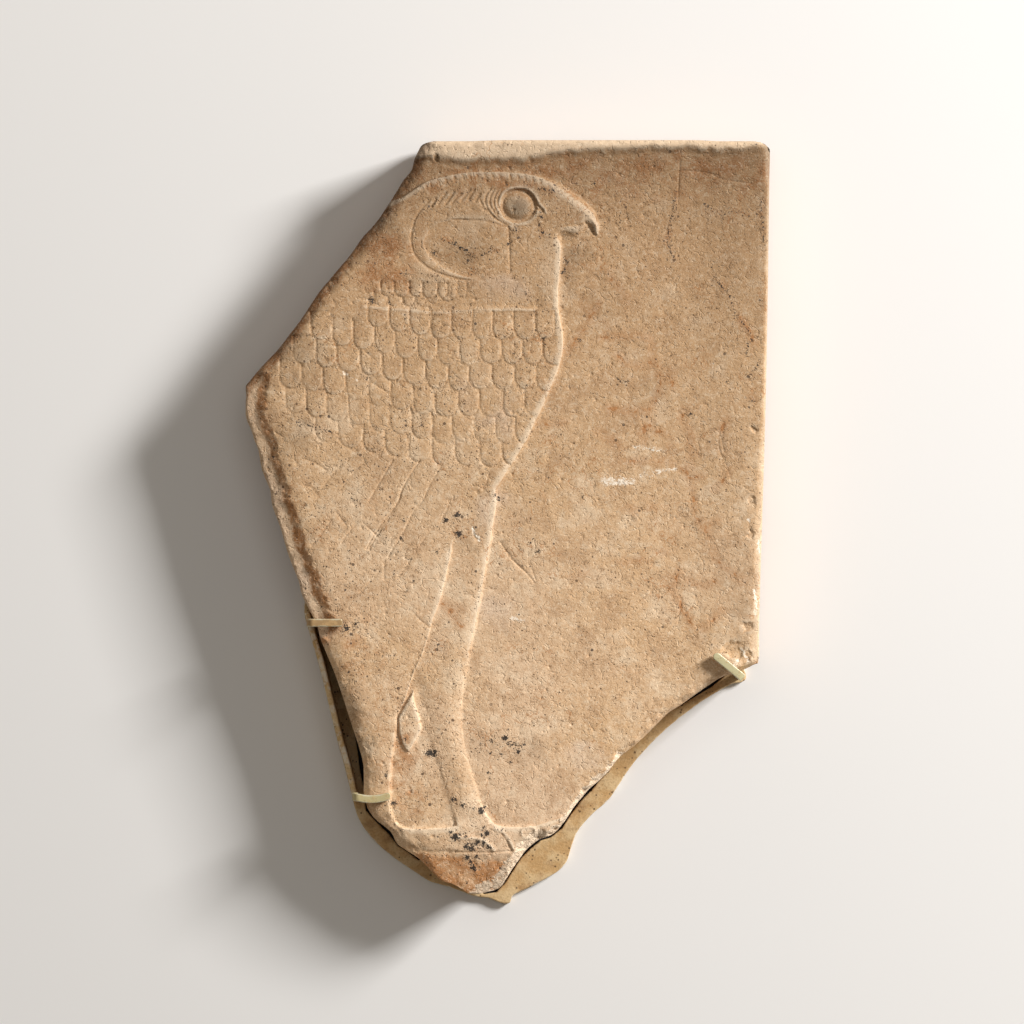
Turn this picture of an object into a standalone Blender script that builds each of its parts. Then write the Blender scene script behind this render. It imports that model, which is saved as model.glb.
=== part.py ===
"""Broken limestone carver's model with a falcon in low relief, lying on its back in a metal cradle.

The face looks up (+Z), the top of the slab points to +Y and the bird looks to +X. The origin is the
middle of the cradle's underside. Places in the outlines are in millimetres, and MM makes them metres.
"""

import math

import bmesh
import bpy
import numpy as np
from mathutils import Vector
from mathutils.geometry import tessellate_polygon

MM = 0.001

# Heights above the cradle's underside, and the depths that the carver cut below the first surface.
PLATE_THICK = 2.0
TOUCH_GAP = 0.3
STONE_THICK = 20.2
GROUND_DEPTH = 2.2
LEG_DEPTH = 0.9
CHEEK_DEPTH = 0.45
BACK = PLATE_THICK + TOUCH_GAP
FACE = BACK + STONE_THICK
GROUND = FACE - GROUND_DEPTH

# The worn arris along the top and the right side, and how far the broken sides lean back.
ARRIS_DEPTH = 2.6
TOP_ARRIS = 2.8
SIDE_ARRIS = 6.0
BREAK_LEAN = 4.0
SHORT_LEAN = 2.0

# Scales of the wing: round-ended tongues in rows, each row half a tongue aside of the last one.
SCALE_PITCH = 5.9
SCALE_GAP = 0.5
SCALE_ROWS = 6
SCALE_ROW_STEP = 6.85
SCALE_LENGTH = 8.6
SCALE_PROUD = 0.4
SCALE_SUNK = 0.25
FIRST_ROW_TIP = 49.2
ROW_BEND_X = -18.3
ROW_RISE = 0.2

# The eye.
EYE = (2.9, 85.5)
EYE_RADIUS = 3.9
EYE_SOCKET_RADIUS = 4.8
EYE_SOCKET_DEPTH = 0.55
EYE_PROUD = 0.15

# The cradle's strip metal.
RAIL_THICK = 1.7
RAIL_TOP = 16.5
CLAW_WIDTH = 2.2
CLAW_THICK = 1.6
CLAW_BEND = 1.5
CLAW_UNDER = FACE + TOUCH_GAP

STONE_COLOUR = (0.56, 0.38, 0.24, 1.0)
PAINT_COLOUR = (0.50, 0.34, 0.17, 1.0)

# Incised lines are V-shaped. The brow carries short strokes, and arcs pass behind the eye.
SMOOTH_STEPS = 3
GROOVE_RADIUS = 0.55
FINE_GROOVE_RADIUS = 0.35
BROW_STROKES = 7
BROW_STROKE_STEP = 1.75
EYE_ARCS = 3
EYE_ARC_STEP = 2.1


def clear_scene():
    for thing in list(bpy.data.objects):
        bpy.data.objects.remove(thing, do_unlink=True)


def new_collection(name):
    collection = bpy.data.collections.new(name)
    bpy.context.scene.collection.children.link(collection)
    return collection


def new_material(name, colour, roughness, metallic):
    material = bpy.data.materials.new(name)
    material.use_nodes = True
    shader = material.node_tree.nodes["Principled BSDF"]
    shader.inputs["Base Color"].default_value = colour
    shader.inputs["Roughness"].default_value = roughness
    shader.inputs["Metallic"].default_value = metallic
    return material


def smooth(points, steps=SMOOTH_STEPS):
    """A curve through the points, cut into short straight steps (Catmull-Rom between neighbours)."""
    ends = [2 * np.array(points[0]) - points[1], 2 * np.array(points[-1]) - points[-2]]
    held = np.array([ends[0], *points, ends[1]], dtype=float)
    part = np.linspace(0.0, 1.0, steps, endpoint=False)[:, None]
    curve = []
    for before, here, there, after in zip(held, held[1:], held[2:], held[3:]):
        bend = 2 * before - 5 * here + 4 * there - after
        turn = 3 * (here - there) + after - before
        curve.append(here + 0.5 * part * (there - before + part * (bend + part * turn)))
    return [*map(tuple, np.vstack(curve)), tuple(points[-1])]


def wall(stretches):
    """The outline's points, and at each point the run of its wall at every level."""
    places = np.array([place for run, points in stretches for place in points], dtype=float)
    runs = np.array([run for run, points in stretches for _ in points], dtype=float)
    return places, runs


def outward(places):
    """Unit vectors that point out of an outline which runs counter-clockwise."""
    along = np.roll(places, -1, axis=0) - places
    along /= np.linalg.norm(along, axis=1)[:, None]
    along = along + np.roll(along, 1, axis=0)
    along /= np.linalg.norm(along, axis=1)[:, None]
    return np.stack([along[:, 1], -along[:, 0]], axis=1)


def link(name, mesh, material, collection):
    thing = bpy.data.objects.new(name, mesh)
    collection.objects.link(thing)
    if material:
        mesh.materials.append(material)
    return thing


def as_cutter(thing):
    thing.hide_render = True
    thing.display_type = "WIRE"
    return thing


def loft(name, stretches, heights, material, collection):
    """A closed solid whose wall leans by its own run, stretch by stretch, from level to level."""
    places, runs = wall(stretches)
    normals = outward(places)
    count = len(places)
    form = bmesh.new()
    rings = []
    for level, height in enumerate(heights):
        ring = places + normals * runs[:, level : level + 1]
        rings.append([form.verts.new((x * MM, y * MM, height * MM)) for x, y in ring])
    for lower, upper in zip(rings, rings[1:]):
        for here in range(count):
            there = (here + 1) % count
            form.faces.new((lower[here], lower[there], upper[there], upper[here]))
    for ring in (rings[0], rings[-1]):
        for corners in tessellate_polygon([[Vector(corner.co) for corner in ring]]):
            form.faces.new([ring[corner] for corner in corners])
    bmesh.ops.recalc_face_normals(form, faces=form.faces)
    mesh = bpy.data.meshes.new(name)
    form.to_mesh(mesh)
    form.free()
    return link(name, mesh, material, collection)


def to_mesh(thing):
    """The curve made a welded mesh of the same name, in the same collection."""
    name, home = thing.name, thing.users_collection[0]
    graph = bpy.context.evaluated_depsgraph_get()
    mesh = bpy.data.meshes.new_from_object(thing.evaluated_get(graph))
    form = bmesh.new()
    form.from_mesh(mesh)
    bmesh.ops.remove_doubles(form, verts=form.verts, dist=1e-6)
    bmesh.ops.recalc_face_normals(form, faces=form.faces)
    form.to_mesh(mesh)
    form.free()
    place = thing.matrix_world.copy()
    bpy.data.objects.remove(thing, do_unlink=True)
    solid = link(name, mesh, None, home)
    solid.matrix_world = place
    return solid


def curve_object(name, collection, lines, closed):
    data = bpy.data.curves.new(name, "CURVE")
    for line in lines:
        spline = data.splines.new("POLY")
        spline.points.add(len(line) - 1)
        for point, place in zip(spline.points, line):
            point.co = (*(value * MM for value in place), 1.0)
        spline.use_cyclic_u = closed
    thing = bpy.data.objects.new(name, data)
    collection.objects.link(thing)
    return thing


def sheet(name, outline, thick, material, collection):
    """A flat outline cut from sheet of a given thickness, lying on z = 0."""
    thing = curve_object(name, collection, [[(x, y, 0.0) for x, y in outline]], True)
    thing.data.dimensions = "2D"
    thing.data.fill_mode = "BOTH"
    thing.data.extrude = thick * MM / 2
    thing.location.z = thick * MM / 2
    thing.data.materials.append(material)
    return thing


def grooves(name, lines, radius, height, collection):
    """One cutter for several incised lines: four-sided tubes whose lower half is under the surface."""
    places = [[(x, y, height) for x, y in line] for line in lines]
    thing = curve_object(name, collection, places, False)
    thing.data.dimensions = "3D"
    thing.data.bevel_depth = radius * MM
    thing.data.bevel_resolution = 0
    thing.data.use_fill_caps = True
    return as_cutter(to_mesh(thing))


def boolean(target, name, operation, tool):
    step = target.modifiers.new(name, "BOOLEAN")
    step.operation = operation
    step.solver = "EXACT"
    step.object = tool


# Outlines of the slab. They run counter-clockwise from the top right corner.

TOP_CORNER = [(70.9, 99.6), (70.2, 101.6), (68.6, 102.6)]
TOP_SIDE = [
    (62.0, 102.8), (52.0, 102.8), (49.0, 103.2), (30.0, 103.2), (-2.0, 103.0), (-18.3, 102.9),
    (-22.6, 102.3), (-23.8, 101.0),
]
UPPER_LEFT_BREAK = [
    (-25.3, 97.7), (-28.3, 92.3), (-32.1, 86.1), (-36.9, 79.4), (-45.3, 68.9), (-51.2, 61.8),
    (-59.1, 50.5), (-66.4, 42.1), (-70.0, 38.0),
]
LEFT_BREAK = [
    (-70.9, 36.0), (-70.7, 28.1), (-68.5, 22.1), (-66.4, 14.0), (-64.0, 7.0), (-61.5, -1.4),
    (-58.8, -10.3), (-55.6, -19.7), (-53.3, -23.6), (-51.4, -28.0),
]
LOWER_LEFT_BREAK = [
    (-50.4, -32.2), (-46.6, -41.3), (-42.6, -53.5), (-39.4, -63.7), (-38.8, -74.6), (-36.4, -79.7),
    (-31.6, -83.7), (-29.6, -87.3), (-23.7, -91.2),
]
BOTTOM_BREAK = [(-18.4, -96.4), (-14.8, -97.8), (-9.9, -100.6), (-3.5, -99.4)]
RIGHT_BREAK_LOW = [
    (1.1, -94.0), (6.2, -87.5), (11.4, -84.7), (17.6, -77.5), (22.1, -72.1), (28.3, -66.0),
]
RIGHT_BREAK_HIGH = [
    (34.6, -60.2), (43.3, -51.7), (50.2, -47.0), (58.1, -41.7), (62.0, -40.2),
]
RIGHT_CORNER = [(66.2, -38.7), (67.6, -37.2)]
RIGHT_SIDE = [(67.9, -28.0), (68.4, -10.0), (69.5, 24.8), (70.2, 57.8), (70.7, 92.0)]


def make_slab(material, collection):
    """The stone before carving: a flat-backed slab with a worn arris, broken left and below."""
    levels = (BACK, FACE - ARRIS_DEPTH, FACE - 0.3 * ARRIS_DEPTH, FACE)
    worn = (0.0, 0.0, -0.3 * TOP_ARRIS, -TOP_ARRIS)
    worn_low = (0.0, 0.0, -0.7 * SIDE_ARRIS, -SIDE_ARRIS)
    corner = (0.0, 0.0, -0.4 * TOP_ARRIS, -0.8 * TOP_ARRIS)
    broken = (-0.8, 0.0, -0.5 * BREAK_LEAN, -BREAK_LEAN)
    steep = (-0.8, 0.0, -0.5 * SHORT_LEAN, -SHORT_LEAN)
    stretches = [
        (corner, TOP_CORNER), (worn, TOP_SIDE), (steep, UPPER_LEFT_BREAK), (broken, LEFT_BREAK),
        (steep, LOWER_LEFT_BREAK), (steep, BOTTOM_BREAK), (broken, RIGHT_BREAK_LOW),
        (steep, RIGHT_BREAK_HIGH), (corner, RIGHT_CORNER), (worn_low, RIGHT_SIDE),
    ]
    return loft("limestone_relief", stretches, levels, material, collection)


# Outlines of the falcon. The throat, breast and leg line runs upwards from the base.

LEG_AND_BREAST = [
    (-1.8, -82.0), (-4.8, -80.1), (-7.4, -74.8), (-10.8, -63.7), (-12.3, -55.1), (-11.3, -42.7),
    (-7.8, -24.6), (-5.2, -10.3), (-3.3, 2.4), (-2.6, 8.8), (0.9, 14.6), (6.1, 23.2), (11.8, 35.9),
    (14.9, 45.4), (15.0, 50.0), (13.8, 59.9), (14.3, 68.9), (14.6, 75.5),
]
BEAK = [(19.5, 78.6), (21.9, 80.0), (23.6, 77.4), (24.6, 77.4), (24.9, 79.8), (24.0, 83.0)]
CROWN = [
    (21.2, 86.4), (13.7, 91.5), (6.5, 93.9), (-5.3, 94.8), (-13.2, 94.3), (-21.0, 92.5),
    (-27.0, 88.6),
]
FAR_LEG_BACK = [(-14.1, -81.8), (-16.9, -72.2), (-22.0, -56.6), (-24.8, -46.2)]
TAIL_TIP = [
    (-24.6, -49.6), (-23.2, -55.0), (-24.8, -59.4), (-26.7, -62.1), (-28.6, -60.2), (-29.5, -55.5),
]
NEAR_SHANK_FRONT = [
    (-30.3, -54.5), (-30.9, -63.7), (-31.3, -75.0), (-30.6, -80.0), (-28.2, -82.2),
]
WING_EDGE = [
    (-14.4, -2.9), (-16.8, -14.9), (-20.5, -26.5), (-25.3, -40.0), (-28.5, -49.1), (-29.4, -51.4),
]
NEAR_SHANK_TOP = [(-29.0, -51.6), (-31.8, -52.6), (-34.5, -52.4), (-50.0, -51.5)]
CHEEK_OUTSIDE = [
    (-10.0, 65.4), (-15.6, 66.0), (-21.5, 68.3), (-24.9, 72.7), (-25.9, 77.5), (-24.8, 81.8),
    (-21.4, 86.7),
]
CHEEK_INSIDE = [(-21.9, 81.0), (-22.8, 75.0), (-19.6, 69.6), (-13.7, 66.8)]
CHEEK_TOP = [(-21.3, 78.3), (-13.2, 81.4), (-4.5, 81.0), (-0.2, 79.7)]
SHOULDER_LINE = [
    (-44.5, 60.8), (-38.3, 58.1), (-21.3, 56.9), (-1.3, 57.5), (13.2, 57.0),
]
BASE_LINE = [(-27.0, -88.8), (-12.0, -88.9), (1.4, -89.0)]
BILL_SLIT = [(12.2, 79.0), (16.5, 80.1), (22.0, 80.3)]
TOE_LINE = [(-11.5, -84.8), (-5.6, -85.8), (-3.4, -87.2)]
TALON_LINE = [(-3.3, -83.4), (0.5, -85.3), (1.3, -87.2)]
FIRST_STROKE = (-20.2, 86.2)
STROKE_REACH = (2.8, 3.3)
FEATHER_LINES = [
    [(-24.8, 16.7), (-30.3, 6.2), (-38.3, -7.0)],
    [(-20.0, 12.4), (-23.7, 4.9), (-32.3, -12.4), (-39.9, -18.4)],
    [(-44.0, 11.5), (-52.0, -3.0)],
    [(-33.0, 14.0), (-39.0, 4.0), (-46.5, -9.0)],
    [(-13.0, 10.5), (-19.0, 1.0), (-27.0, -11.0)],
]


def ground_right():
    """The lowered ground before the bird, from the top margin round to the base."""
    above = FACE + 2.0
    levels = (GROUND, GROUND + 0.6 * GROUND_DEPTH, FACE, above)
    margin = (0.0, 2.0, 4.6, 4.6)
    side_margin = (0.0, 6.6, 11.0, 11.0)
    margin_corner = (0.0, 4.0, 8.0, 8.0)
    open_end = (0.0, 0.0, 0.0, 0.0)
    body = (0.0, 0.25, 1.3, 1.3)
    beak = (0.0, 0.05, 0.2, 0.2)
    stretches = [
        (margin, [(61.0, 95.2), (-40.0, 95.0)]), (open_end, [(-42.0, 84.0)]),
        (body, smooth(CROWN)[::-1]), (beak, BEAK[::-1]), (body, smooth(LEG_AND_BREAST)[::-1]),
        (body, [(12.0, -81.8), (24.0, -82.0)]),
        (open_end, [(40.0, -68.0), (58.0, -54.0), (63.5, -46.0)]),
        (side_margin, [(63.5, -34.0), (64.2, 10.0), (65.2, 57.0), (65.2, 90.0)]),
        (margin_corner, [(64.2, 93.9)]),
    ]
    return levels, stretches


def ground_between_legs():
    """The ground between the shanks, with the tip of the tail left standing in it."""
    levels = (GROUND, GROUND + 0.6 * GROUND_DEPTH, FACE, FACE + 2.0)
    body = (0.0, 0.15, 0.5, 0.5)
    tail = (0.0, 0.1, 0.3, 0.3)
    stretches = [
        (body, smooth(NEAR_SHANK_FRONT)), (body, smooth(FAR_LEG_BACK)), (tail, smooth(TAIL_TIP, 2)),
    ]
    return levels, stretches


def far_leg():
    """The far leg lies lower than the wing that covers its thigh, and runs out in a ramp above."""
    floor = FACE - LEG_DEPTH
    levels = (floor, floor + 0.6 * LEG_DEPTH, FACE, FACE + 2.0)
    edge = (0.0, 0.2, 0.7, 0.7)
    ramp = (0.0, 7.2, 12.0, 12.0)
    ramp_end = (0.0, 2.4, 4.0, 4.0)
    free = (0.0, 0.0, 0.0, 0.0)
    stretches = [
        (edge, smooth(WING_EDGE)), (free, [(-27.5, -56.0), (-27.0, -70.0)]),
        (edge, [(-19.0, -81.0), (-1.0, -81.2)]), (free, [(2.0, -78.0), (-3.0, -50.0), (4.0, -12.0)]),
        (ramp, [(4.0, -4.0), (-4.0, -3.0), (-10.0, -3.0)]), (ramp_end, [(-13.2, -2.0)]),
    ]
    return levels, stretches


def near_shank():
    """The near leg below the feathered thigh."""
    floor = FACE - LEG_DEPTH
    levels = (floor, floor + 0.6 * LEG_DEPTH, FACE, FACE + 2.0)
    edge = (0.0, 0.2, 0.6, 0.6)
    free = (0.0, 0.0, 0.0, 0.0)
    stretches = [
        (edge, NEAR_SHANK_TOP), (free, [(-50.0, -78.0)]), (edge, [(-39.0, -81.2), (-28.6, -81.2)]),
        (free, [(-27.5, -80.0), (-28.2, -66.0)]),
    ]
    return levels, stretches


def cheek_mark():
    """The dark moustache of a falcon, cut as a crescent under the eye."""
    floor = FACE - CHEEK_DEPTH
    levels = (floor, FACE + 1.0)
    cut = (0.0, 0.15)
    return levels, [(cut, smooth(CHEEK_OUTSIDE, 2)[::-1]), (cut, smooth(CHEEK_INSIDE, 2)[::-1])]


def breast_at(height):
    """How far right the breast reaches at a height, read from its outline."""
    line = np.array(smooth(LEG_AND_BREAST))
    return float(np.interp(height, line[:, 1], line[:, 0]))


def break_at(height):
    """How far left the front face reaches at a height."""
    side = np.array([*UPPER_LEFT_BREAK, *LEFT_BREAK])[::-1]
    return float(np.interp(height, side[:, 1], side[:, 0])) + BREAK_LEAN


def scale_mesh():
    """One scale: straight sides and a round lower end, its top face tilted so the tip stands proud."""
    half = (SCALE_PITCH - SCALE_GAP) / 2
    turn = np.linspace(0.0, math.pi, 7)
    round_end = [(half * math.cos(a), half * 0.9 * (1 - math.sin(a))) for a in turn]
    plan = [(-half, SCALE_LENGTH), (half, SCALE_LENGTH), *round_end]
    plan = np.array(plan[::-1])
    lift = SCALE_PROUD - (SCALE_PROUD + SCALE_SUNK) * plan[:, 1] / SCALE_LENGTH
    form = bmesh.new()
    top = [form.verts.new((x * MM, y * MM, z * MM)) for (x, y), z in zip(plan, lift)]
    low = [form.verts.new((x * MM, y * MM, -0.9 * MM)) for x, y in plan]
    form.faces.new(top)
    form.faces.new(low[::-1])
    for here in range(len(plan)):
        there = (here + 1) % len(plan)
        form.faces.new((low[here], low[there], top[there], top[here]))
    bmesh.ops.recalc_face_normals(form, faces=form.faces)
    mesh = bpy.data.meshes.new("scale")
    form.to_mesh(mesh)
    form.free()
    return mesh


def scale_rows(name, first_row, collection):
    """Every second row of scales as one tool, each row bending up towards the bird's back."""
    pattern = scale_mesh()
    form = bmesh.new()
    for row in range(first_row, SCALE_ROWS, 2):
        level = FIRST_ROW_TIP - SCALE_ROW_STEP * row
        shift = 0.5 * (row % 2)
        for step in range(-12, 4):
            x = (step + shift) * SCALE_PITCH
            tip = level + ROW_RISE * max(0.0, ROW_BEND_X - x)
            left = max(break_at(tip), break_at(tip + SCALE_LENGTH)) + SCALE_PITCH / 2
            if not left < x < breast_at(tip + SCALE_LENGTH / 2) - SCALE_PITCH / 4:
                continue
            before = len(form.verts)
            form.from_mesh(pattern)
            form.verts.ensure_lookup_table()
            place = Vector((x * MM, tip * MM, FACE * MM))
            bmesh.ops.translate(form, verts=form.verts[before:], vec=place)
    mesh = bpy.data.meshes.new(name)
    form.to_mesh(mesh)
    form.free()
    bpy.data.meshes.remove(pattern)
    return as_cutter(link(name, mesh, None, collection))


def eye_ball(collection):
    bpy.ops.mesh.primitive_uv_sphere_add(segments=20, ring_count=10, radius=EYE_RADIUS * MM)
    ball = bpy.context.active_object
    ball.name = "eye_ball"
    for point in ball.data.vertices:
        point.co.z *= 0.3
    ball.location = (EYE[0] * MM, EYE[1] * MM, (FACE + EYE_PROUD - 0.3 * EYE_RADIUS) * MM)
    for home in list(ball.users_collection):
        home.objects.unlink(ball)
    collection.objects.link(ball)
    return as_cutter(ball)


def eye_socket(collection):
    depth = EYE_SOCKET_DEPTH + 1.0
    bpy.ops.mesh.primitive_cone_add(
        vertices=24,
        radius1=(EYE_SOCKET_RADIUS - 0.5) * MM,
        radius2=(EYE_SOCKET_RADIUS + 0.3) * MM,
        depth=depth * MM,
        location=(EYE[0] * MM, EYE[1] * MM, (FACE - EYE_SOCKET_DEPTH + depth / 2) * MM),
    )
    socket = bpy.context.active_object
    socket.name = "eye_socket"
    for home in list(socket.users_collection):
        home.objects.unlink(socket)
    collection.objects.link(socket)
    return as_cutter(socket)


def brow_strokes():
    """Slanting strokes over the brow, one step apart."""
    starts = [(FIRST_STROKE[0] + BROW_STROKE_STEP * n, FIRST_STROKE[1]) for n in range(BROW_STROKES)]
    return [[start, tuple(np.add(start, STROKE_REACH))] for start in starts]


def eye_arcs():
    """Half rings behind the eye, each one a step further out, all ending under it."""
    turn = np.linspace(0.6 * math.pi, 1.3 * math.pi, 7)
    radii = [EYE_SOCKET_RADIUS + EYE_ARC_STEP * (n + 0.6) for n in range(EYE_ARCS)]
    return [[(EYE[0] + r * math.cos(a), EYE[1] + 0.8 * r * math.sin(a)) for a in turn] for r in radii]


def carve(stone, cutters):
    """The carving, in the carver's order: scales first, then the ground, the legs and the fine cuts."""
    for name, first in (("scales_odd", 0), ("scales_even", 1)):
        boolean(stone, name, "UNION", scale_rows(name, first, cutters))
    pockets = {
        "ground_right": ground_right(),
        "ground_between_legs": ground_between_legs(),
        "far_leg": far_leg(),
        "near_shank": near_shank(),
        "cheek_mark": cheek_mark(),
    }
    for name, (levels, stretches) in pockets.items():
        tool = as_cutter(loft(name + "_cutter", stretches, levels, None, cutters))
        boolean(stone, name, "DIFFERENCE", tool)
    boolean(stone, "eye_socket", "DIFFERENCE", eye_socket(cutters))
    boolean(stone, "eye_ball", "UNION", eye_ball(cutters))
    lines = [smooth(SHOULDER_LINE), BASE_LINE, smooth(CHEEK_TOP), BILL_SLIT, TOE_LINE, TALON_LINE]
    broad = grooves("broad_lines", lines + FEATHER_LINES, GROOVE_RADIUS, FACE + 0.05, cutters)
    boolean(stone, "broad_lines", "DIFFERENCE", broad)
    lines = brow_strokes() + eye_arcs()
    fine = grooves("fine_lines", lines, FINE_GROOVE_RADIUS, FACE + 0.02, cutters)
    boolean(stone, "fine_lines", "DIFFERENCE", fine)


# The cradle. Its outline shows past the stone at lower left, below and at lower right, and the rest
# runs up behind the stone far enough that the stone's weight lies over it.

PLATE_LEFT = [
    (-55.6, -24.4), (-51.4, -39.2), (-46.5, -59.4), (-44.8, -65.4), (-42.4, -74.9), (-40.8, -80.4),
    (-37.2, -85.9), (-31.6, -91.0), (-26.5, -94.5), (-21.6, -98.0), (-18.8, -98.5), (-14.0, -100.1),
    (-9.0, -102.0), (-5.2, -102.3),
]
PLATE_RIGHT = [
    (-1.0, -104.0), (0.6, -103.8), (1.0, -102.1), (5.5, -99.7), (11.0, -96.8), (14.2, -94.7),
    (16.2, -92.1), (17.4, -88.2), (19.2, -84.0), (23.2, -79.4), (27.9, -75.1), (34.4, -65.5),
    (42.9, -56.6), (52.4, -49.2), (60.5, -44.4), (63.8, -43.6), (65.0, -41.9),
]
PLATE_HIDDEN = [
    (63.0, -36.0), (55.0, -10.0), (47.0, 30.0), (33.0, 54.0), (-6.0, 60.0), (-34.0, 54.0),
    (-54.0, 34.0), (-57.0, 8.0), (-54.6, -16.0),
]
RAIL_LINE = [(-54.2, -24.6), (-50.1, -39.4), (-45.2, -59.3), (-43.5, -65.2), (-41.0, -75.2)]


def make_plate(material, collection):
    """The painted back plate, cut from 2 mm sheet."""
    outline = [*PLATE_LEFT, *PLATE_RIGHT, *PLATE_HIDDEN]
    return sheet("cradle_back_plate", outline, PLATE_THICK, material, collection)


def make_rail(material, collection):
    """The strip that stands on the plate's left edge and carries two claws."""
    line = np.array(RAIL_LINE)
    along = np.gradient(line, axis=0)
    along /= np.linalg.norm(along, axis=1)[:, None]
    side = np.stack([along[:, 1], -along[:, 0]], axis=1) * RAIL_THICK / 2
    outline = [*map(tuple, line + side), *map(tuple, (line - side)[::-1])]
    foot = PLATE_THICK + TOUCH_GAP
    rail = sheet("cradle_left_rail", outline, RAIL_TOP - foot, material, collection)
    rail.location.z += foot * MM
    return rail


def claw_profile(foot, reach):
    """Side view of a claw, bent from strip: a post from its foot up, a round bend, and the arm."""
    top = CLAW_UNDER + CLAW_THICK
    bend = CLAW_BEND
    turn = np.linspace(0.0, math.pi / 2, 5)
    outer = [(bend - bend * math.cos(a), top - bend + bend * math.sin(a)) for a in turn]
    tip = [(reach, top - 0.5), (reach - 0.15, CLAW_UNDER)]
    inner = [(CLAW_THICK + 0.5, CLAW_UNDER), (CLAW_THICK, CLAW_UNDER - 0.5)]
    return [(0.0, foot), *outer, (reach - 0.4, top), *tip, *inner, (CLAW_THICK, foot)]


def make_claw(name, outer_end, tip, foot, material, collection):
    """A claw whose post stands at outer_end and whose arm reaches over the face to the tip."""
    start = np.array(outer_end)
    reach = np.array(tip) - start
    profile = claw_profile(foot, float(np.linalg.norm(reach)))
    claw = curve_object(name, collection, [[(x, z, 0.0) for x, z in profile]], True)
    claw.data.dimensions = "2D"
    claw.data.fill_mode = "BOTH"
    claw.data.extrude = CLAW_WIDTH * MM / 2
    claw.rotation_euler = (math.pi / 2, 0.0, math.atan2(reach[1], reach[0]))
    claw.location = (start[0] * MM, start[1] * MM, 0.0)
    claw.data.materials.append(material)
    return claw


def make_claws(material, collection):
    on_rail = RAIL_TOP + TOUCH_GAP
    on_plate = PLATE_THICK + TOUCH_GAP
    make_claw("claw_upper_left", (-54.4, -27.2), (-44.6, -27.2), on_rail, material, collection)
    make_claw("claw_lower_left", (-42.1, -74.3), (-31.6, -73.8), on_rail, material, collection)
    make_claw("claw_right", (63.7, -42.3), (55.7, -35.6), on_plate, material, collection)


def build():
    clear_scene()
    parts = new_collection("sculptors_model_fragment")
    cutters = new_collection("cutters")
    limestone = new_material("limestone", STONE_COLOUR, 0.9, 0.0)
    paint = new_material("stone_coloured_paint", PAINT_COLOUR, 0.7, 0.0)
    stone = make_slab(limestone, parts)
    carve(stone, cutters)
    make_plate(paint, parts)
    make_rail(paint, parts)
    make_claws(paint, parts)


build()
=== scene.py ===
"""Limestone carver's model with a falcon in low relief, broken left and below, in its display cradle.

It lies face up. Places in the tables are in millimetres on the carved face: x the way the bird looks, y
to the top of the slab, and heights above the cradle's underside. MM makes them metres.
"""
import math

import bpy
import numpy as np
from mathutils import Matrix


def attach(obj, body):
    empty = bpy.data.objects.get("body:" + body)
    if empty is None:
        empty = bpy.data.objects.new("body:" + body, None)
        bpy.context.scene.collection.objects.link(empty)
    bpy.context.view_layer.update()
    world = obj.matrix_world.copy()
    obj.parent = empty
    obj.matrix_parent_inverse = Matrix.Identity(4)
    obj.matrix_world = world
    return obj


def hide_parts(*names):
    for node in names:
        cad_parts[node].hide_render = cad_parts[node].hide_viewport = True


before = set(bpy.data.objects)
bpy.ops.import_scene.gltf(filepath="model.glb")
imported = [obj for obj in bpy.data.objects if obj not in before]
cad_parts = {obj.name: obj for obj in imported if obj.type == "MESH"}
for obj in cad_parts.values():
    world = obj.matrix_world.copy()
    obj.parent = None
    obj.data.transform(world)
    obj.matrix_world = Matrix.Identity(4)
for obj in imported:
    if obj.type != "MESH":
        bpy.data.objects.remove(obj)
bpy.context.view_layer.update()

# The stone: one slab of fine limestone, sawn flat, carved on its face and later broken on the left
# and below. Its face is a height worked out point by point on a ruled grid: lowered ground, worn
# margins, the falcon with its scales and cuts, then the damage of age.

MM = 0.001
BACK, FACE = 2.05, 22.5
TOP, BOTTOM, WIDEST = 102.9, -100.5, 70.85
GRID_WIDTH = 141.0
SPACING = 0.25
KEPT_SHARE = 0.16

LEFT_SIDE = [
    (-10.6, -100.5), (-14.8, -97.9), (-18.4, -96.6), (-23.7, -91.2), (-29.6, -87.3), (-31.6, -83.7),
    (-36.4, -79.7), (-38.8, -74.6), (-38.9, -69.0), (-39.4, -63.7), (-42.6, -53.5), (-46.6, -41.3),
    (-50.4, -32.2), (-51.4, -28.4), (-53.6, -23.8), (-55.6, -19.7), (-56.6, -15.7), (-58.8, -10.3),
    (-60.1, -6.2), (-61.5, -1.4), (-63.7, 4.6), (-64.2, 8.6), (-66.4, 14.0), (-67.4, 19.4),
    (-68.5, 22.1), (-69.1, 24.3), (-70.7, 28.1), (-70.9, 31.6), (-70.7, 34.3), (-70.9, 36.5),
    (-69.6, 38.3), (-66.4, 42.1), (-62.3, 46.4), (-59.1, 50.5), (-55.6, 55.1), (-51.2, 61.8),
    (-48.3, 65.3), (-45.3, 68.9), (-42.6, 72.1), (-39.4, 76.7), (-36.9, 79.4), (-34.5, 82.4),
    (-32.1, 86.1), (-29.9, 89.6), (-28.3, 92.3), (-26.1, 95.0), (-25.3, 97.7), (-23.8, 101.0),
    (-22.6, 102.2), (-20.0, 102.9),
]
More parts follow.
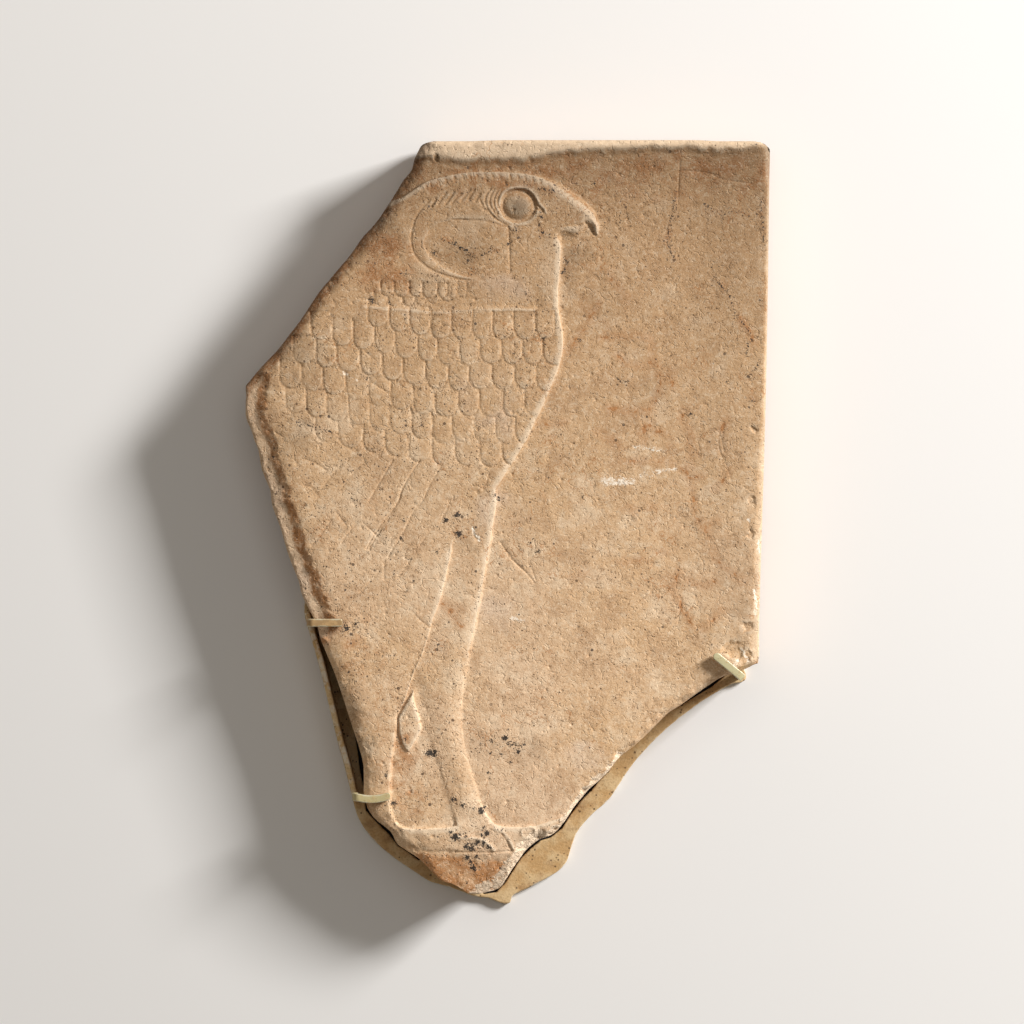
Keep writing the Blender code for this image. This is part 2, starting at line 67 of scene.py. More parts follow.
RIGHT_SIDE = [
    (-7.3, -100.5), (-3.5, -99.5), (-1.6, -98.3), (1.1, -94.0), (3.1, -91.2), (4.5, -89.2),
    (6.2, -87.5), (8.7, -85.7), (11.4, -84.8), (13.5, -83.2), (15.5, -80.7), (17.6, -77.5),
    (19.5, -75.1), (22.1, -72.1), (24.0, -70.5), (26.7, -68.0), (28.3, -66.0), (30.3, -63.5),
    (34.6, -60.2), (38.9, -56.1), (43.3, -51.7), (46.8, -49.5), (50.2, -47.0), (54.5, -44.0),
    (58.1, -41.8), (62.4, -40.5), (66.6, -38.5), (67.8, -37.2), (67.9, -28.0), (68.4, -10.0),
    (69.5, 24.8), (70.2, 57.8), (70.7, 92.0), (70.9, 99.6), (70.2, 101.4), (68.6, 102.5),
    (66.5, 102.9),
]


def curve(points, steps=4):
    """A smooth line through the points: between two of them it is the cubic that leaves each one along
    the direction from its neighbour before to its neighbour after."""
    held = np.array(points, dtype=float)
    held = np.vstack([2 * held[0] - held[1], held, 2 * held[-1] - held[-2]])
    before, here, there, after = (held[n : len(held) - 3 + n, None] for n in range(4))
    part = np.linspace(0.0, 1.0, steps, endpoint=False)[None, :, None]
    bend = 2 * before - 5 * here + 4 * there - after
    turn = 3 * (here - there) + after - before
    line = here + 0.5 * part * (there - before + part * (bend + part * turn))
    return np.vstack([line.reshape(-1, 2), held[-2]])


def ease(value):
    """0 below 0 and 1 above 1, and between them 3v² - 2v³."""
    value = np.clip(value, 0.0, 1.0)
    return value * value * (3 - 2 * value)


def cloud(x, y, size, seed):
    """Soft noise from -1 to 1: random numbers on the corners of squares of one size, blended with ease
    from corner to corner."""
    table = np.random.default_rng(seed).uniform(-1.0, 1.0, (128, 128))
    u, v = x / size + 64.3, y / size + 64.7
    i, j = np.floor(u).astype(int), np.floor(v).astype(int)
    a, b = ease(u - i), ease(v - j)
    low = table[i % 128, j % 128] * (1 - a) + table[(i + 1) % 128, j % 128] * a
    high = table[i % 128, (j + 1) % 128] * (1 - a) + table[(i + 1) % 128, (j + 1) % 128] * a
    return low * (1 - b) + high * b


def rough(x, y, size, seed, layers=3):
    """Noise on noise: each layer has half the size and six tenths of the height of the one before."""
    return sum(0.6**n * cloud(x, y, size * 0.5**n, seed + n) for n in range(layers))


row_y = np.linspace(BOTTOM, TOP, int((TOP - BOTTOM) / SPACING) + 1)
left_side, right_side = curve(LEFT_SIDE, 3), curve(RIGHT_SIDE, 3)
row_left = np.maximum(np.interp(row_y, left_side[:, 1], left_side[:, 0]), -WIDEST)
row_right = np.minimum(np.interp(row_y, right_side[:, 1], right_side[:, 0]), WIDEST)
columns = int(GRID_WIDTH / SPACING) + 1
share = np.linspace(0.0, 1.0, columns)
face_x = row_left[:, None] + (row_right - row_left)[:, None] * share
face_y = np.repeat(row_y[:, None], columns, axis=1)


def window(low, high):
    """The rows and columns of the face grid that a box between two corners can touch."""
    first, last = np.searchsorted(row_y, (low[1], high[1]))
    if first == last:
        return None
    side, span = row_left[first:last], (row_right - row_left)[first:last]
    start = int(((low[0] - side) / span).min() * (columns - 1))
    stop = int(((high[0] - side) / span).max() * (columns - 1)) + 2
    start, stop = max(start, 0), min(stop, columns)
    return (slice(first, last), slice(start, stop)) if start < stop else None


def square_at(x, y, reach):
    """The rows and columns that a square around a place can touch."""
    return window((x - reach, y - reach), (x + reach, y + reach))


def gap(line, reach=3.0):
    """Distance of every point of the face from a chain of straight runs, or reach where it is more."""
    line = np.asarray(line, dtype=float)
    least = np.full(face_x.shape, reach)
    for start, stop in zip(line, line[1:]):
        box = window(np.minimum(start, stop) - reach, np.maximum(start, stop) + reach)
        if box is None:
            continue
        x, y = face_x[box] - start[0], face_y[box] - start[1]
        run = stop - start
        along = np.clip((x * run[0] + y * run[1]) / max(run @ run, 1e-9), 0.0, 1.0)
        least[box] = np.minimum(least[box], np.hypot(x - along * run[0], y - along * run[1]))
    return least


def within(outline):
    """True inside a closed outline: a point is inside when the outline crosses the row on its left an
    odd number of times."""
    outline = np.asarray(outline, dtype=float)
    inside = np.zeros(face_x.shape, dtype=bool)
    for start, stop in zip(outline, np.roll(outline, -1, axis=0)):
        run = stop - start
        if run[1] == 0.0:
            continue
        first, last = np.searchsorted(row_y, sorted((start[1], stop[1])))
        crossing = start[0] + (row_y[first:last] - start[1]) * run[0] / run[1]
        inside[first:last] ^= face_x[first:last] > crossing[:, None]
    return inside


def bevel(distance, run):
    """How much of a step's height is reached at a distance inside its outline: 1 - (1 - d/run)², so it
    starts steep and rounds off."""
    return 1.0 - (1.0 - np.clip(distance / run, 0.0, 1.0)) ** 2


def cut(height, line, depth, half_width, wear=0.0):
    """Sinks a groove along a line: deepest in the middle, depth (1 - d/w)^1.3 deep at a distance d. Wear
    thins it out along the line by noise."""
    groove = (1.0 - gap(line, half_width) / half_width) ** 1.3
    if wear:
        groove = groove * (1.0 - wear * ease(0.5 + cloud(face_x, face_y, 3.5, 5)))
    height -= depth * groove


# The outlines of the falcon. The far side of each closed outline lies off the stone.
CROWN = [
    (24.6, 77.5), (24.9, 79.8), (24.4, 82.2), (23.2, 84.4), (21.2, 86.4), (18.8, 88.2), (16.5, 89.9),
    (13.7, 91.5), (10.5, 92.9), (6.5, 93.9), (2.6, 94.5), (-1.4, 94.7), (-5.3, 94.8), (-9.4, 94.7),
    (-13.2, 94.3), (-18.0, 93.3), (-21.0, 92.5), (-23.4, 91.3), (-25.9, 89.6), (-29.1, 87.5),
]
HOOK = [
    (14.6, 77.1), (16.0, 77.2), (18.2, 77.0), (19.8, 77.8), (21.4, 79.4), (22.2, 79.9), (23.0, 78.6),
    (23.8, 77.2),
]
THROAT = [
    (14.6, 77.1), (14.5, 73.4), (14.3, 68.9), (14.1, 65.6), (13.8, 62.9), (13.8, 59.9), (13.8, 57.8),
    (14.3, 54.8), (14.9, 51.8), (15.1, 49.1), (14.9, 45.4), (13.7, 40.8), (11.8, 35.9), (10.3, 32.0),
    (8.4, 28.2), (6.1, 23.2), (3.8, 19.2), (0.9, 14.6), (-1.2, 11.2), (-2.7, 8.8), (-2.9, 6.8),
    (-2.8, 5.1), (-3.3, 2.4), (-3.8, -0.4), (-4.1, -3.5), (-4.5, -6.5), (-5.2, -10.3), (-5.8, -13.8),
    (-6.4, -17.6), (-7.1, -21.2), (-7.8, -24.6), (-8.4, -28.6), (-8.9, -29.7), (-9.5, -32.9),
    (-10.0, -36.2), (-10.7, -39.4), (-11.3, -42.7), (-11.8, -45.9), (-12.1, -49.1), (-12.3, -52.4),
    (-12.3, -54.5), (-12.1, -56.6), (-11.8, -58.9), (-11.3, -61.5), (-10.8, -63.7), (-10.2, -65.9),
    (-9.4, -68.3), (-8.2, -71.8), (-7.4, -74.8), (-6.3, -77.5), (-4.8, -80.1), (-3.3, -81.3),
    (-1.8, -82.0), (0.9, -82.2), (6.2, -82.0), (10.1, -81.0),
]
BASE_TOP = [(14.5, -79.6), (17.5, -77.6)]
crown, throat = curve(CROWN), curve(THROAT, 3)
figure_edge = np.vstack([crown[::-1], curve(HOOK)[::-1][1:], throat[1:], BASE_TOP])
figure = within(np.vstack([figure_edge, [(30.0, -92.0), (0.0, -125.0), (-110.0, -90.0), (-110.0, 60.0)]]))
figure_gap = gap(figure_edge, 8.0)

# The ground is lowest under the top margin and rises gently to the right one, which is worn low.
ground = -1.15 - 0.45 * ease((face_y - 62.0) / 34.0) + 0.75 * ease((face_x - 40.0) / 27.0)
ground += 0.12 * rough(face_x, face_y, 38.0, 11) - 0.05
RIDGE = [
    (-24.0, 99.0), (-21.0, 99.4), (-15.6, 98.5), (-2.0, 98.3), (5.0, 98.9), (11.5, 99.6), (25.0, 100.9),
    (38.0, 101.1), (52.0, 101.3), (63.0, 101.6), (80.0, 101.6),
]
ridge_y = np.interp(face_x, *np.transpose(RIDGE)) + 0.55 * rough(face_x, face_y * 0.4, 5.0, 21, 4)
below = ridge_y - face_y
cove = 0.46 * ease(below / 2.3) + 0.54 * ease(below / 14.0)
ground = ground * cove

# The bird stands up from it with a crisp edge, wider on the beak and the breast and soft on the legs.
# Under the wing the far leg lies lower, and the near shank lies a little lower than its thigh.
WING_EDGE = [
    (-14.4, -2.9), (-15.1, -5.9), (-15.4, -8.6), (-16.2, -11.6), (-16.8, -14.9), (-17.6, -17.8),
    (-18.3, -20.5), (-19.4, -23.8), (-20.5, -26.5), (-21.5, -30.2), (-22.8, -34.3), (-24.0, -37.5),
    (-25.3, -40.0), (-26.4, -43.2), (-27.2, -45.9), (-28.5, -49.1), (-29.6, -51.8),
]
SHANK_TOP = [(-29.6, -51.8), (-31.8, -52.7), (-33.5, -52.9), (-34.5, -52.4), (-44.0, -50.0)]
wing_edge = curve(WING_EDGE)
under_wing = within(np.vstack([wing_edge, [(-27.0, -56.0), (-24.0, -84.0), (14.0, -84.0), (14.0, -3.0)]]))
wing_gap = gap(wing_edge, 14.0)
drop = 0.50 * (1.0 - 0.55 * ease((wing_gap - 1.0) / 9.0)) * ease((-2.6 - face_y) / 6.0)
drop = drop * bevel(wing_gap, 0.5) * ease((face_y + 83.0) / 3.0)
body = -0.14 + 0.1 * rough(face_x, face_y, 22.0, 31) - np.where(under_wing, drop, 0.0)
near_shank = within([
    *SHANK_TOP, (-60.0, -49.0), (-60.0, -82.0), (-30.5, -82.0), (-31.3, -77.5), (-31.2, -68.0),
    (-30.3, -58.0),
])
shank_step = 0.18 * bevel(gap(SHANK_TOP, 6.0), 1.2) * ease((face_y + 83.5) / 4.0)
body -= np.where(near_shank, shank_step, 0.0)
thigh_round = 0.35 * (1.0 - bevel(gap(wing_edge, 6.0), 5.0)) * ease((-20.0 - face_y) / 20.0)
body -= np.where(~under_wing & (face_y > -53.0), thigh_round, 0.0)

beak_share = ease((face_x - 6.0) / 12.0) * ease((face_y - 74.0) / 3.0)
breast_share = ease((46.0 - face_y) / 14.0) * ease((face_y - 2.0) / 8.0)
round_share = ease((2.0 - face_y) / 14.0) * ease((face_y + 80.0) / 6.0)
run = 0.5 + 2.3 * beak_share + 0.7 * breast_share + 0.4 * round_share
crisp_share = 0.86 - 0.26 * round_share - 0.4 * ease((-24.0 - face_y) / 20.0) * ease((face_y + 80.0) / 6.0)
rise = crisp_share * bevel(figure_gap, run) + (1 - crisp_share) * bevel(figure_gap, 4.2)
height = np.where(figure, ground + (body - ground) * rise, ground)

# Between the legs the ground is seen again, with the tip of the tail standing in it.
SHANK_FRONT = [
    (-29.6, -52.1), (-29.8, -55.0), (-30.0, -57.5), (-30.4, -60.5), (-30.9, -63.7), (-31.1, -67.0),
    (-31.3, -70.2), (-31.3, -74.8), (-31.3, -77.5), (-30.5, -79.8), (-29.6, -81.3), (-28.2, -82.2),
    (-24.5, -82.6), (-19.9, -82.4), (-16.1, -82.2), (-13.9, -81.8),
]
FAR_LEG_BACK = [
    (-24.8, -45.6), (-23.8, -51.0), (-22.8, -54.6), (-22.0, -56.6), (-20.9, -59.8), (-19.8, -63.1),
    (-18.4, -67.2), (-16.9, -72.2), (-15.8, -76.4), (-14.8, -79.4), (-14.1, -81.8),
]
TAIL = [
    (-25.3, -45.4), (-25.3, -47.2), (-24.8, -49.1), (-24.0, -51.7), (-23.3, -54.0), (-23.1, -55.9),
    (-23.7, -57.5), (-24.8, -59.4), (-25.9, -61.3), (-26.7, -62.1), (-27.5, -61.8), (-28.6, -60.2),
    (-29.6, -56.7), (-29.8, -53.5),
]
LEG_GROUND = -0.95
legs_edge = np.vstack([curve(SHANK_FRONT)[:-1], curve(FAR_LEG_BACK)[::-1]])
legs_gap = within(np.vstack([legs_edge, [(-25.2, -44.0), (-29.3, -50.8)]]))
from_legs = gap(legs_edge, 4.0)
far_back = ease(1.0 - gap(curve(FAR_LEG_BACK), 6.0) / 5.0) * ease((face_y + 82.0) / 4.0)
height -= np.where(under_wing & ~legs_gap, 0.38 * far_back, 0.0)
floor_level = LEG_GROUND + 0.05 * rough(face_x, face_y, 9.0, 41)
leg_run = np.where(face_y < -81.0, 0.7, 1.1)
beside = np.where(from_legs < 3.9, bevel(from_legs, leg_run), 1.0)
height = np.where(legs_gap, floor_level, floor_level + (height - floor_level) * beside)
tail_line = curve(TAIL)
tail_top = floor_level + 0.62 * bevel(gap(tail_line, 3.0), 0.8)
height = np.where(within(tail_line) & legs_gap, np.maximum(height, tail_top), height)

# The head: the crescent mark, its cheek, the eye with its lid, and the fine cuts behind and above it.
CRESCENT_OUT = [
    (-21.3, 86.7), (-23.4, 84.5), (-25.0, 81.8), (-25.9, 78.6), (-26.1, 76.1), (-25.6, 73.4),
    (-24.5, 71.3), (-22.9, 69.7), (-21.0, 68.3), (-18.3, 67.0), (-15.6, 66.2), (-12.9, 65.5),
    (-10.2, 65.2),
]
CRESCENT_IN = [
    (-21.5, 78.3), (-22.3, 77.2), (-22.9, 75.3), (-22.6, 74.0), (-21.5, 72.1), (-19.6, 70.2),
    (-16.9, 68.3), (-14.2, 67.0), (-11.5, 66.2), (-9.9, 65.9),
]
CHEEK_TOP = [(-15.1, 81.7), (-12.1, 81.7), (-8.0, 81.5), (-4.8, 81.0), (-2.1, 80.2), (0.1, 79.7)]
cheek_end = [(-2.0, 66.5), (0.3, 79.6), *CHEEK_TOP[::-1], (-19.0, 80.6)]
cheek = within(np.vstack([curve(CRESCENT_IN), cheek_end]))
cheek_step = 0.24 * bevel(gap(curve(CRESCENT_IN), 6.0), 0.4) * (1 - ease((face_x + 14.0) / 10.0))
height -= np.where(cheek, cheek_step, 0.0)
cut(height, curve(CRESCENT_OUT), 0.28, 0.55)
cut(height, curve(CHEEK_TOP), 0.20, 0.45)
cut(height, [(0.2, 79.6), (0.4, 74.8), (0.5, 71.3), (0.6, 67.4)], 0.26, 0.45)
EYE, EYE_HALF = (2.9, 85.5), (4.3, 3.95)
eye = np.hypot((face_x - EYE[0]) / EYE_HALF[0], (face_y - EYE[1]) / EYE_HALF[1])
ball = 1.2 * np.clip(1.0 - (eye / 1.02) ** 2, 0.0, 1.0) ** 0.75 - 0.9
socket = -0.75 * ease((1.28 - eye) / 0.28)
height = np.where(eye < 1.3, height + np.maximum(socket, np.where(eye < 1.0, ball, -9.0)), height)
LID = [
    (-1.8, 85.3), (-2.0, 86.9), (-1.3, 88.7), (0.1, 89.8), (1.7, 90.2), (3.3, 90.2), (5.2, 89.9),
    (6.5, 89.1), (7.6, 87.5), (8.7, 85.9), (9.9, 84.6), (10.3, 83.4),
]
lid = gap(curve(LID), 1.0)
height += 0.16 * ease(1.0 - lid / 0.55)

# The corner of the eye, the arcs behind it and the marks under it.
cut(height, curve([(6.8, 88.0), (7.5, 86.4), (8.3, 85.2), (9.5, 84.1)]), 0.35, 0.45)
cut(height, curve([(7.6, 84.8), (8.7, 84.1), (9.5, 83.7)]), 0.30, 0.4)
EYE_ARCS = [
    [(-7.5, 86.9), (-6.7, 85.2), (-5.5, 83.8), (-4.0, 82.5), (-2.4, 81.3), (-0.7, 80.3)],
    [
        (-4.5, 90.2), (-5.6, 88.8), (-6.1, 87.2), (-5.9, 85.6), (-5.1, 84.0), (-3.7, 82.5),
        (-2.1, 81.3), (0.1, 80.1),
    ],
    [
        (-3.6, 89.9), (-4.5, 88.6), (-4.9, 86.9), (-4.7, 85.3), (-3.8, 83.8), (-2.6, 82.5),
        (-1.0, 81.3), (0.9, 80.3),
    ],
    [
        (-2.6, 89.5), (-3.4, 88.3), (-3.8, 86.8), (-3.6, 85.2), (-2.8, 83.7), (-1.6, 82.5),
        (0.1, 81.4), (1.7, 80.6),
    ],
    [
        (-1.8, 89.1), (-2.5, 88.0), (-2.8, 86.5), (-2.5, 84.9), (-1.7, 83.4), (-0.5, 82.2),
        (1.1, 81.3), (3.0, 80.7),
    ],
]
for line in EYE_ARCS:
    cut(height, curve(line), 0.24, 0.42)
for line in ([(1.4, 80.1), (4.7, 79.8), (8.2, 80.2)], [(4.4, 79.0), (6.0, 79.2)]):
    cut(height, curve(line), 0.12, 0.4)

# The brow strokes, then the bill and the hook of the beak.
BROW_STROKES = [
    [(-20.7, 85.3), (-20.2, 86.1), (-19.4, 87.2)],
    [(-18.8, 85.9), (-17.8, 87.6), (-16.7, 88.8)],
    [(-16.7, 85.9), (-15.9, 87.2), (-14.6, 89.0)],
    [(-15.1, 86.1), (-14.0, 87.5), (-12.6, 88.6)],
    [(-12.6, 86.7), (-11.3, 88.3), (-10.2, 89.6)],
    [(-10.6, 86.9), (-10.2, 88.0), (-9.1, 89.5)],
    [(-8.8, 86.7), (-8.3, 87.5), (-7.5, 88.6)],
]
for line in BROW_STROKES:
    cut(height, curve(line), 0.34, 0.62)
cut(height, curve([(12.5, 79.2), (13.8, 79.8), (16.3, 80.1), (18.4, 80.3), (21.1, 80.7)]), 0.14, 0.4)
cut(height, curve([(15.5, 78.3), (16.8, 77.8), (18.4, 78.0)]), 0.14, 0.6)
cut(height, curve([(20.9, 81.0), (21.9, 79.9), (22.7, 78.6), (23.6, 77.4)]), 0.35, 0.6)
cut(height, curve([(19.0, 76.4), (20.3, 77.2), (21.7, 78.3)]), 0.15, 0.5)

# The wing and breast stand a little higher than the neck, with a soft bead along the shoulder line.
SHOULDER = [
    (-38.3, 58.1), (-35.0, 57.8), (-30.4, 57.5), (-25.9, 57.1), (-22.3, 56.7), (-18.3, 56.6),
    (-12.9, 56.7), (-7.5, 57.0), (-2.1, 57.2), (2.0, 57.5), (6.0, 57.1), (8.7, 56.7),
]
shoulder = np.interp(face_x, *np.transpose(SHOULDER))
shoulder_share = ease((face_x + 42.0) / 6.0) * ease((11.0 - face_x) / 4.0)
past = shoulder - face_y
neck_low = ease(-past / 1.6) * (1 - ease((-past - 1.6) / 9.0))
bead = ease(1.0 - np.abs(past - 0.1) / 0.7)
height += np.where(figure, shoulder_share * (0.06 * bead - 0.30 * neck_low), 0.0)
cut(height, curve([(-18.8, 59.4), (-15.6, 59.5), (-14.0, 59.8), (-12.1, 60.3), (-9.7, 60.9)]), 0.16, 0.45)

# The neck feathers and the scales of wing and breast: tongues in rows, each row over the next one. A
# tongue's left side is cut back gently and its right side steeply.
scale_height = np.zeros(face_x.shape)
covered = np.zeros(face_x.shape, dtype=bool)
chance = np.random.default_rng(7)


def tongue(near, far, low, long, end, depth):
    """One tongue between two sides with its tip at low: it sinks towards its root, and its rim falls
    off over a width that shrinks from left to right. The lower end is half an ellipse."""
    box = window((near - 0.3, low - 0.6), (far + 0.3, low + long + 0.2))
    if box is None:
        return
    middle, half = (near + far) / 2, (far - near) / 2
    x, y = (face_x[box] - middle) / half, face_y[box] - low
    x = x + chance.uniform(-0.05, 0.05) * (y - end) / end
    out = np.where(y < end, np.hypot(x, (y - end) / end), np.abs(x))
    mine = (out < 1.0) & (y < long) & ~covered[box]
    rim = (1.0 - (1.0 - out) * half / (0.44 - 0.17 * np.clip(1.5 * x, -1.0, 1.0))).clip(0.0, 1.0)
    shape = 0.09 - 0.17 * y / long - depth * rim * chance.uniform(0.7, 1.1)
    scale_height[box] = np.where(mine, shape, scale_height[box])
    covered[box] |= mine


NECK_ROWS = [
    ([-34.5, -30.8, -26.8, -23.2, -19.1, -16.4, -13.7, -11.0], [60.8, 60.6, 60.8, 60.3, 60.3, 60.2, 60.5]),
    ([-36.4, -32.5, -28.5, -25.2, -22.1, -18.3, -15.1], [58.2, 58.1, 58.1, 58.3, 59.0, 59.5]),
]
for sides, tips in NECK_ROWS:
    for near, far, low in zip(sides, sides[1:], tips):
        tongue(near, far, low, 4.4, 1.8, 0.38)
SCALE_ROWS = [
    (49.1, -38.0, 7.3, 9, 0), (42.2, -41.8, 9.5, 10, 2), (35.4, -40.2, 7.5, 9, 3), (28.1, -49.9, 4.4, 10, 2),
    (21.3, -54.5, 2.0, 11, 1), (15.0, -52.0, -1.6, 9, 0),
]
breast_x = np.interp(face_y, throat[::-1, 1], throat[::-1, 0])
for tip, first, last, count, extra in SCALE_ROWS:
    pitch = (last - first) / (count - 1)
    edges = first + pitch * np.arange(-extra, count + 1)
    edges = edges + chance.uniform(-0.22, 0.22, len(edges))
    for near, far in zip(edges, edges[1:]):
        low = tip + 0.2 * max(0.0, -18.3 - (near + far) / 2) + chance.uniform(-0.3, 0.3)
        tongue(near, far, low, 8.0, 3.3, 0.36)
wear = ease(0.75 + 0.7 * cloud(face_x, face_y, 9.0, 71))
keep = figure & (face_x < breast_x - 0.5)
height += np.where(keep, scale_height * (0.75 + 0.25 * wear), 0.0)

# Short comma cuts along the crown, in a row that follows it.
for share_along in np.linspace(0.42, 0.86, 17):
    x0, y0 = crown[int(share_along * len(crown))]
    slant = chance.uniform(-0.15, 0.15)
    comma = [(x0 - 0.2, y0 - 0.5), (x0 + 0.25 + slant, y0 - 1.3), (x0 + 0.3 + slant, y0 - 2.2)]
    cut(height, curve(comma), 0.14, 0.4)

# The long feathers of the wing, drawn as single and double scratched lines.
FEATHER_DEPTH = 1.2
FEATHERS = [
    ([(-31.0, 16.7), (-32.3, 14.6), (-34.5, 10.8), (-36.4, 7.6), (-37.5, 5.7)], 0.27),
    ([
        (-23.7, 16.7), (-25.6, 14.0), (-27.7, 10.5), (-28.8, 8.1), (-29.4, 5.9), (-31.5, 2.7),
        (-33.7, 0.0), (-35.8, -3.0), (-38.3, -7.3),
    ], 0.37),
    ([(-30.7, 2.7), (-32.9, 0.0), (-35.0, -3.0), (-37.5, -7.3)], 0.27),
    ([
        (-18.0, 15.1), (-19.9, 11.9), (-21.5, 9.2), (-22.6, 6.5), (-24.2, 4.3), (-25.9, 2.2),
        (-27.5, -1.4), (-29.1, -4.3), (-30.4, -6.2), (-32.3, -9.2),
    ], 0.22),
    ([(-38.5, 16.7), (-40.4, 14.6), (-42.9, 11.9), (-45.0, 8.9)], 0.17),
    ([(-45.0, 15.7), (-47.2, 13.0), (-50.2, 9.2)], 0.17),
    ([(-47.7, 0.5), (-50.2, -3.0), (-53.1, -6.5)], 0.20),
    ([(-40.7, 0.0), (-42.6, -2.4), (-45.0, -5.7)], 0.20),
    ([(-20.2, -1.4), (-22.3, -4.1), (-23.7, -6.2)], 0.22),
    ([(-26.4, -10.3), (-28.0, -12.7), (-29.6, -15.1)], 0.24),
    ([(-34.5, -13.0), (-37.2, -16.2), (-39.9, -18.9)], 0.22),
    ([(-15.6, 5.9), (-16.9, 2.4), (-18.3, 0.0)], 0.20),
    ([(-5.1, 12.7), (-6.7, 8.6)], 0.20),
]
for line, depth in FEATHERS:
    cut(height, curve(line), FEATHER_DEPTH * depth, 0.42, wear=0.3)

# The feet and the base line.
cut(height, curve([(-26.4, -88.8), (-21.0, -89.0), (-14.2, -89.1)]), 0.12, 0.5)
cut(height, curve([(-14.2, -89.1), (-7.5, -89.2), (-2.1, -89.1), (1.7, -88.8)]), 0.30, 0.45)
TOE = [(-13.4, -85.2), (-11.3, -85.3), (-8.8, -85.5), (-6.4, -86.1), (-4.8, -87.5), (-3.7, -88.6)]
TALON = [(-3.4, -82.9), (-1.6, -83.7), (-0.2, -85.1), (1.1, -87.2), (1.7, -88.8)]
height += 0.28 * ease(1.0 - gap(curve(TOE), 1.6) / 0.9)
height += 0.22 * ease(1.0 - gap(curve(TALON), 1.6) / 0.8)
cut(height, curve([(-1.6, -84.2), (-0.5, -85.6), (0.3, -87.5), (1.1, -88.7)]), 0.28, 0.5)
pad_line = curve([
    (3.8, -84.5), (3.6, -83.4), (4.4, -82.6), (6.0, -82.2), (7.4, -82.9), (7.1, -84.2), (5.5, -85.5),
    (4.1, -85.2),
])
height += 0.22 * ease(1.0 - gap(pad_line, 1.0) / 0.6)
height += np.where(within(pad_line), 0.10, 0.0)

# Scratches of later handling.
SCRATCHES = [
    [(-33.3, -10.3), (-33.4, -13.0), (-33.4, -15.7)],
    [(-39.1, -0.3), (-36.7, -2.4), (-35.0, -4.1)],
    [(-54.7, 17.0), (-52.0, 15.9), (-49.9, 14.6), (-48.8, 13.8)],
    [(-55.0, 10.8), (-53.1, 9.2), (-51.2, 7.0)],
    [(-46.4, 2.7), (-45.0, 0.8), (-43.7, -0.8)],
    [(-42.1, 5.9), (-41.2, 4.3)],
    [(-56.6, 27.3), (-55.0, 26.7), (-53.4, 25.4)],
    [(-62.8, 24.3), (-60.4, 22.7)],
    [(-26.1, -23.8), (-24.0, -26.2), (-21.0, -28.6)],
    [(-2.1, -5.4), (-1.0, -7.0), (0.3, -9.2), (2.8, -11.9), (5.2, -14.0), (7.1, -16.2)],
    [(6.3, -11.9), (6.8, -13.8), (7.6, -15.7)],
    [(46.5, 97.7), (46.2, 92.3), (46.0, 86.1)],
    [(47.0, 95.0), (54.6, 94.2), (57.8, 92.6), (66.2, 91.3)],
    [(57.3, 24.8), (57.0, 20.0), (59.2, 14.9), (60.3, 11.3)],
    [(58.4, 26.2), (57.8, 22.1), (58.4, 18.9)],
    [(-36.7, 37.5), (-34.5, 36.2), (-32.3, 34.8)],
    [(-39.1, 46.4), (-35.8, 43.7)],
    [(-9.4, -1.6), (-9.1, -3.8), (-8.0, -4.9)],
    [(-0.5, -7.8), (2.0, -10.8), (4.9, -13.5)],
    [(47.0, -20.5), (46.5, -23.8), (46.0, -27.3)],
]
for line in SCRATCHES:
    cut(height, curve(line), 0.22, 0.38, wear=0.4)

# The edges: worn arrises above and on the right, and the slopes of the breaks.
def edge_drop(line, seed, jitter, profile):
    """How far the face falls off near one stretch of the outline: read from a profile of distance and
    drop, with the distance made uneven by noise."""
    away = gap(line, profile[-1][0] + 1.5)
    distance = away + jitter * rough(face_x, face_y, 2.6, seed) * ease(away / 0.8)
    return np.interp(distance, *np.transpose(profile))


left, right = np.asarray(LEFT_SIDE), np.asarray(RIGHT_SIDE)
TOP_LINE = [(-22.6, 102.6), (-20.0, 102.9), (66.5, 102.9), (69.0, 102.6)]
ARRISES = [
    (TOP_LINE, 81, 0.2, [(0.0, 1.5), (0.2, 0.75), (0.5, 0.3), (0.9, 0.08), (1.3, 0.0)]),
    (right[27:34], 83, 0.15, [(0.0, 1.3), (0.2, 0.5), (0.5, 0.16), (0.9, 0.03), (1.2, 0.0)]),
    (right[32:36], 84, 0.2, [(0.0, 2.0), (0.3, 0.9), (0.9, 0.3), (1.6, 0.0)]),
]
BREAKS = {
    "upper left": (left[29:49], 85, 0.4, [(0.0, 2.4), (0.4, 1.2), (1.8, 0.5), (3.0, 0.12), (4.5, 0.0)]),
    "left": (
        left[13:31], 87, 0.5,
        [(0.0, 2.9), (0.3, 1.85), (2.2, 1.57), (3.3, 1.25), (5.4, 0.28), (8.0, 0.0)],
    ),
    "lower left": (left[4:14], 89, 0.4, [(0.0, 2.2), (0.4, 1.3), (1.4, 0.7), (3.2, 0.2), (5.0, 0.0)]),
    "bottom": (left[0:5], 91, 0.4, [(0.0, 3.0), (0.4, 2.0), (2.0, 0.9), (4.5, 0.25), (6.5, 0.0)]),
    "fracture": (right[0:8], 93, 0.5, [(0.0, 2.6), (0.3, 1.6), (2.0, 0.5), (2.8, 0.1), (3.4, 0.0)]),
    "fracture end": (right[7:18], 94, 0.5, [(0.0, 2.0), (0.2, 1.2), (0.8, 0.4), (1.3, 0.1), (1.8, 0.0)]),
    "lower right": (right[17:28], 95, 0.3, [(0.0, 2.6), (0.3, 1.6), (1.0, 0.6), (1.8, 0.0)]),
}
worn_edges = [edge_drop(*arris) for arris in ARRISES]
breaks = {name: edge_drop(*stretch) for name, stretch in BREAKS.items()}

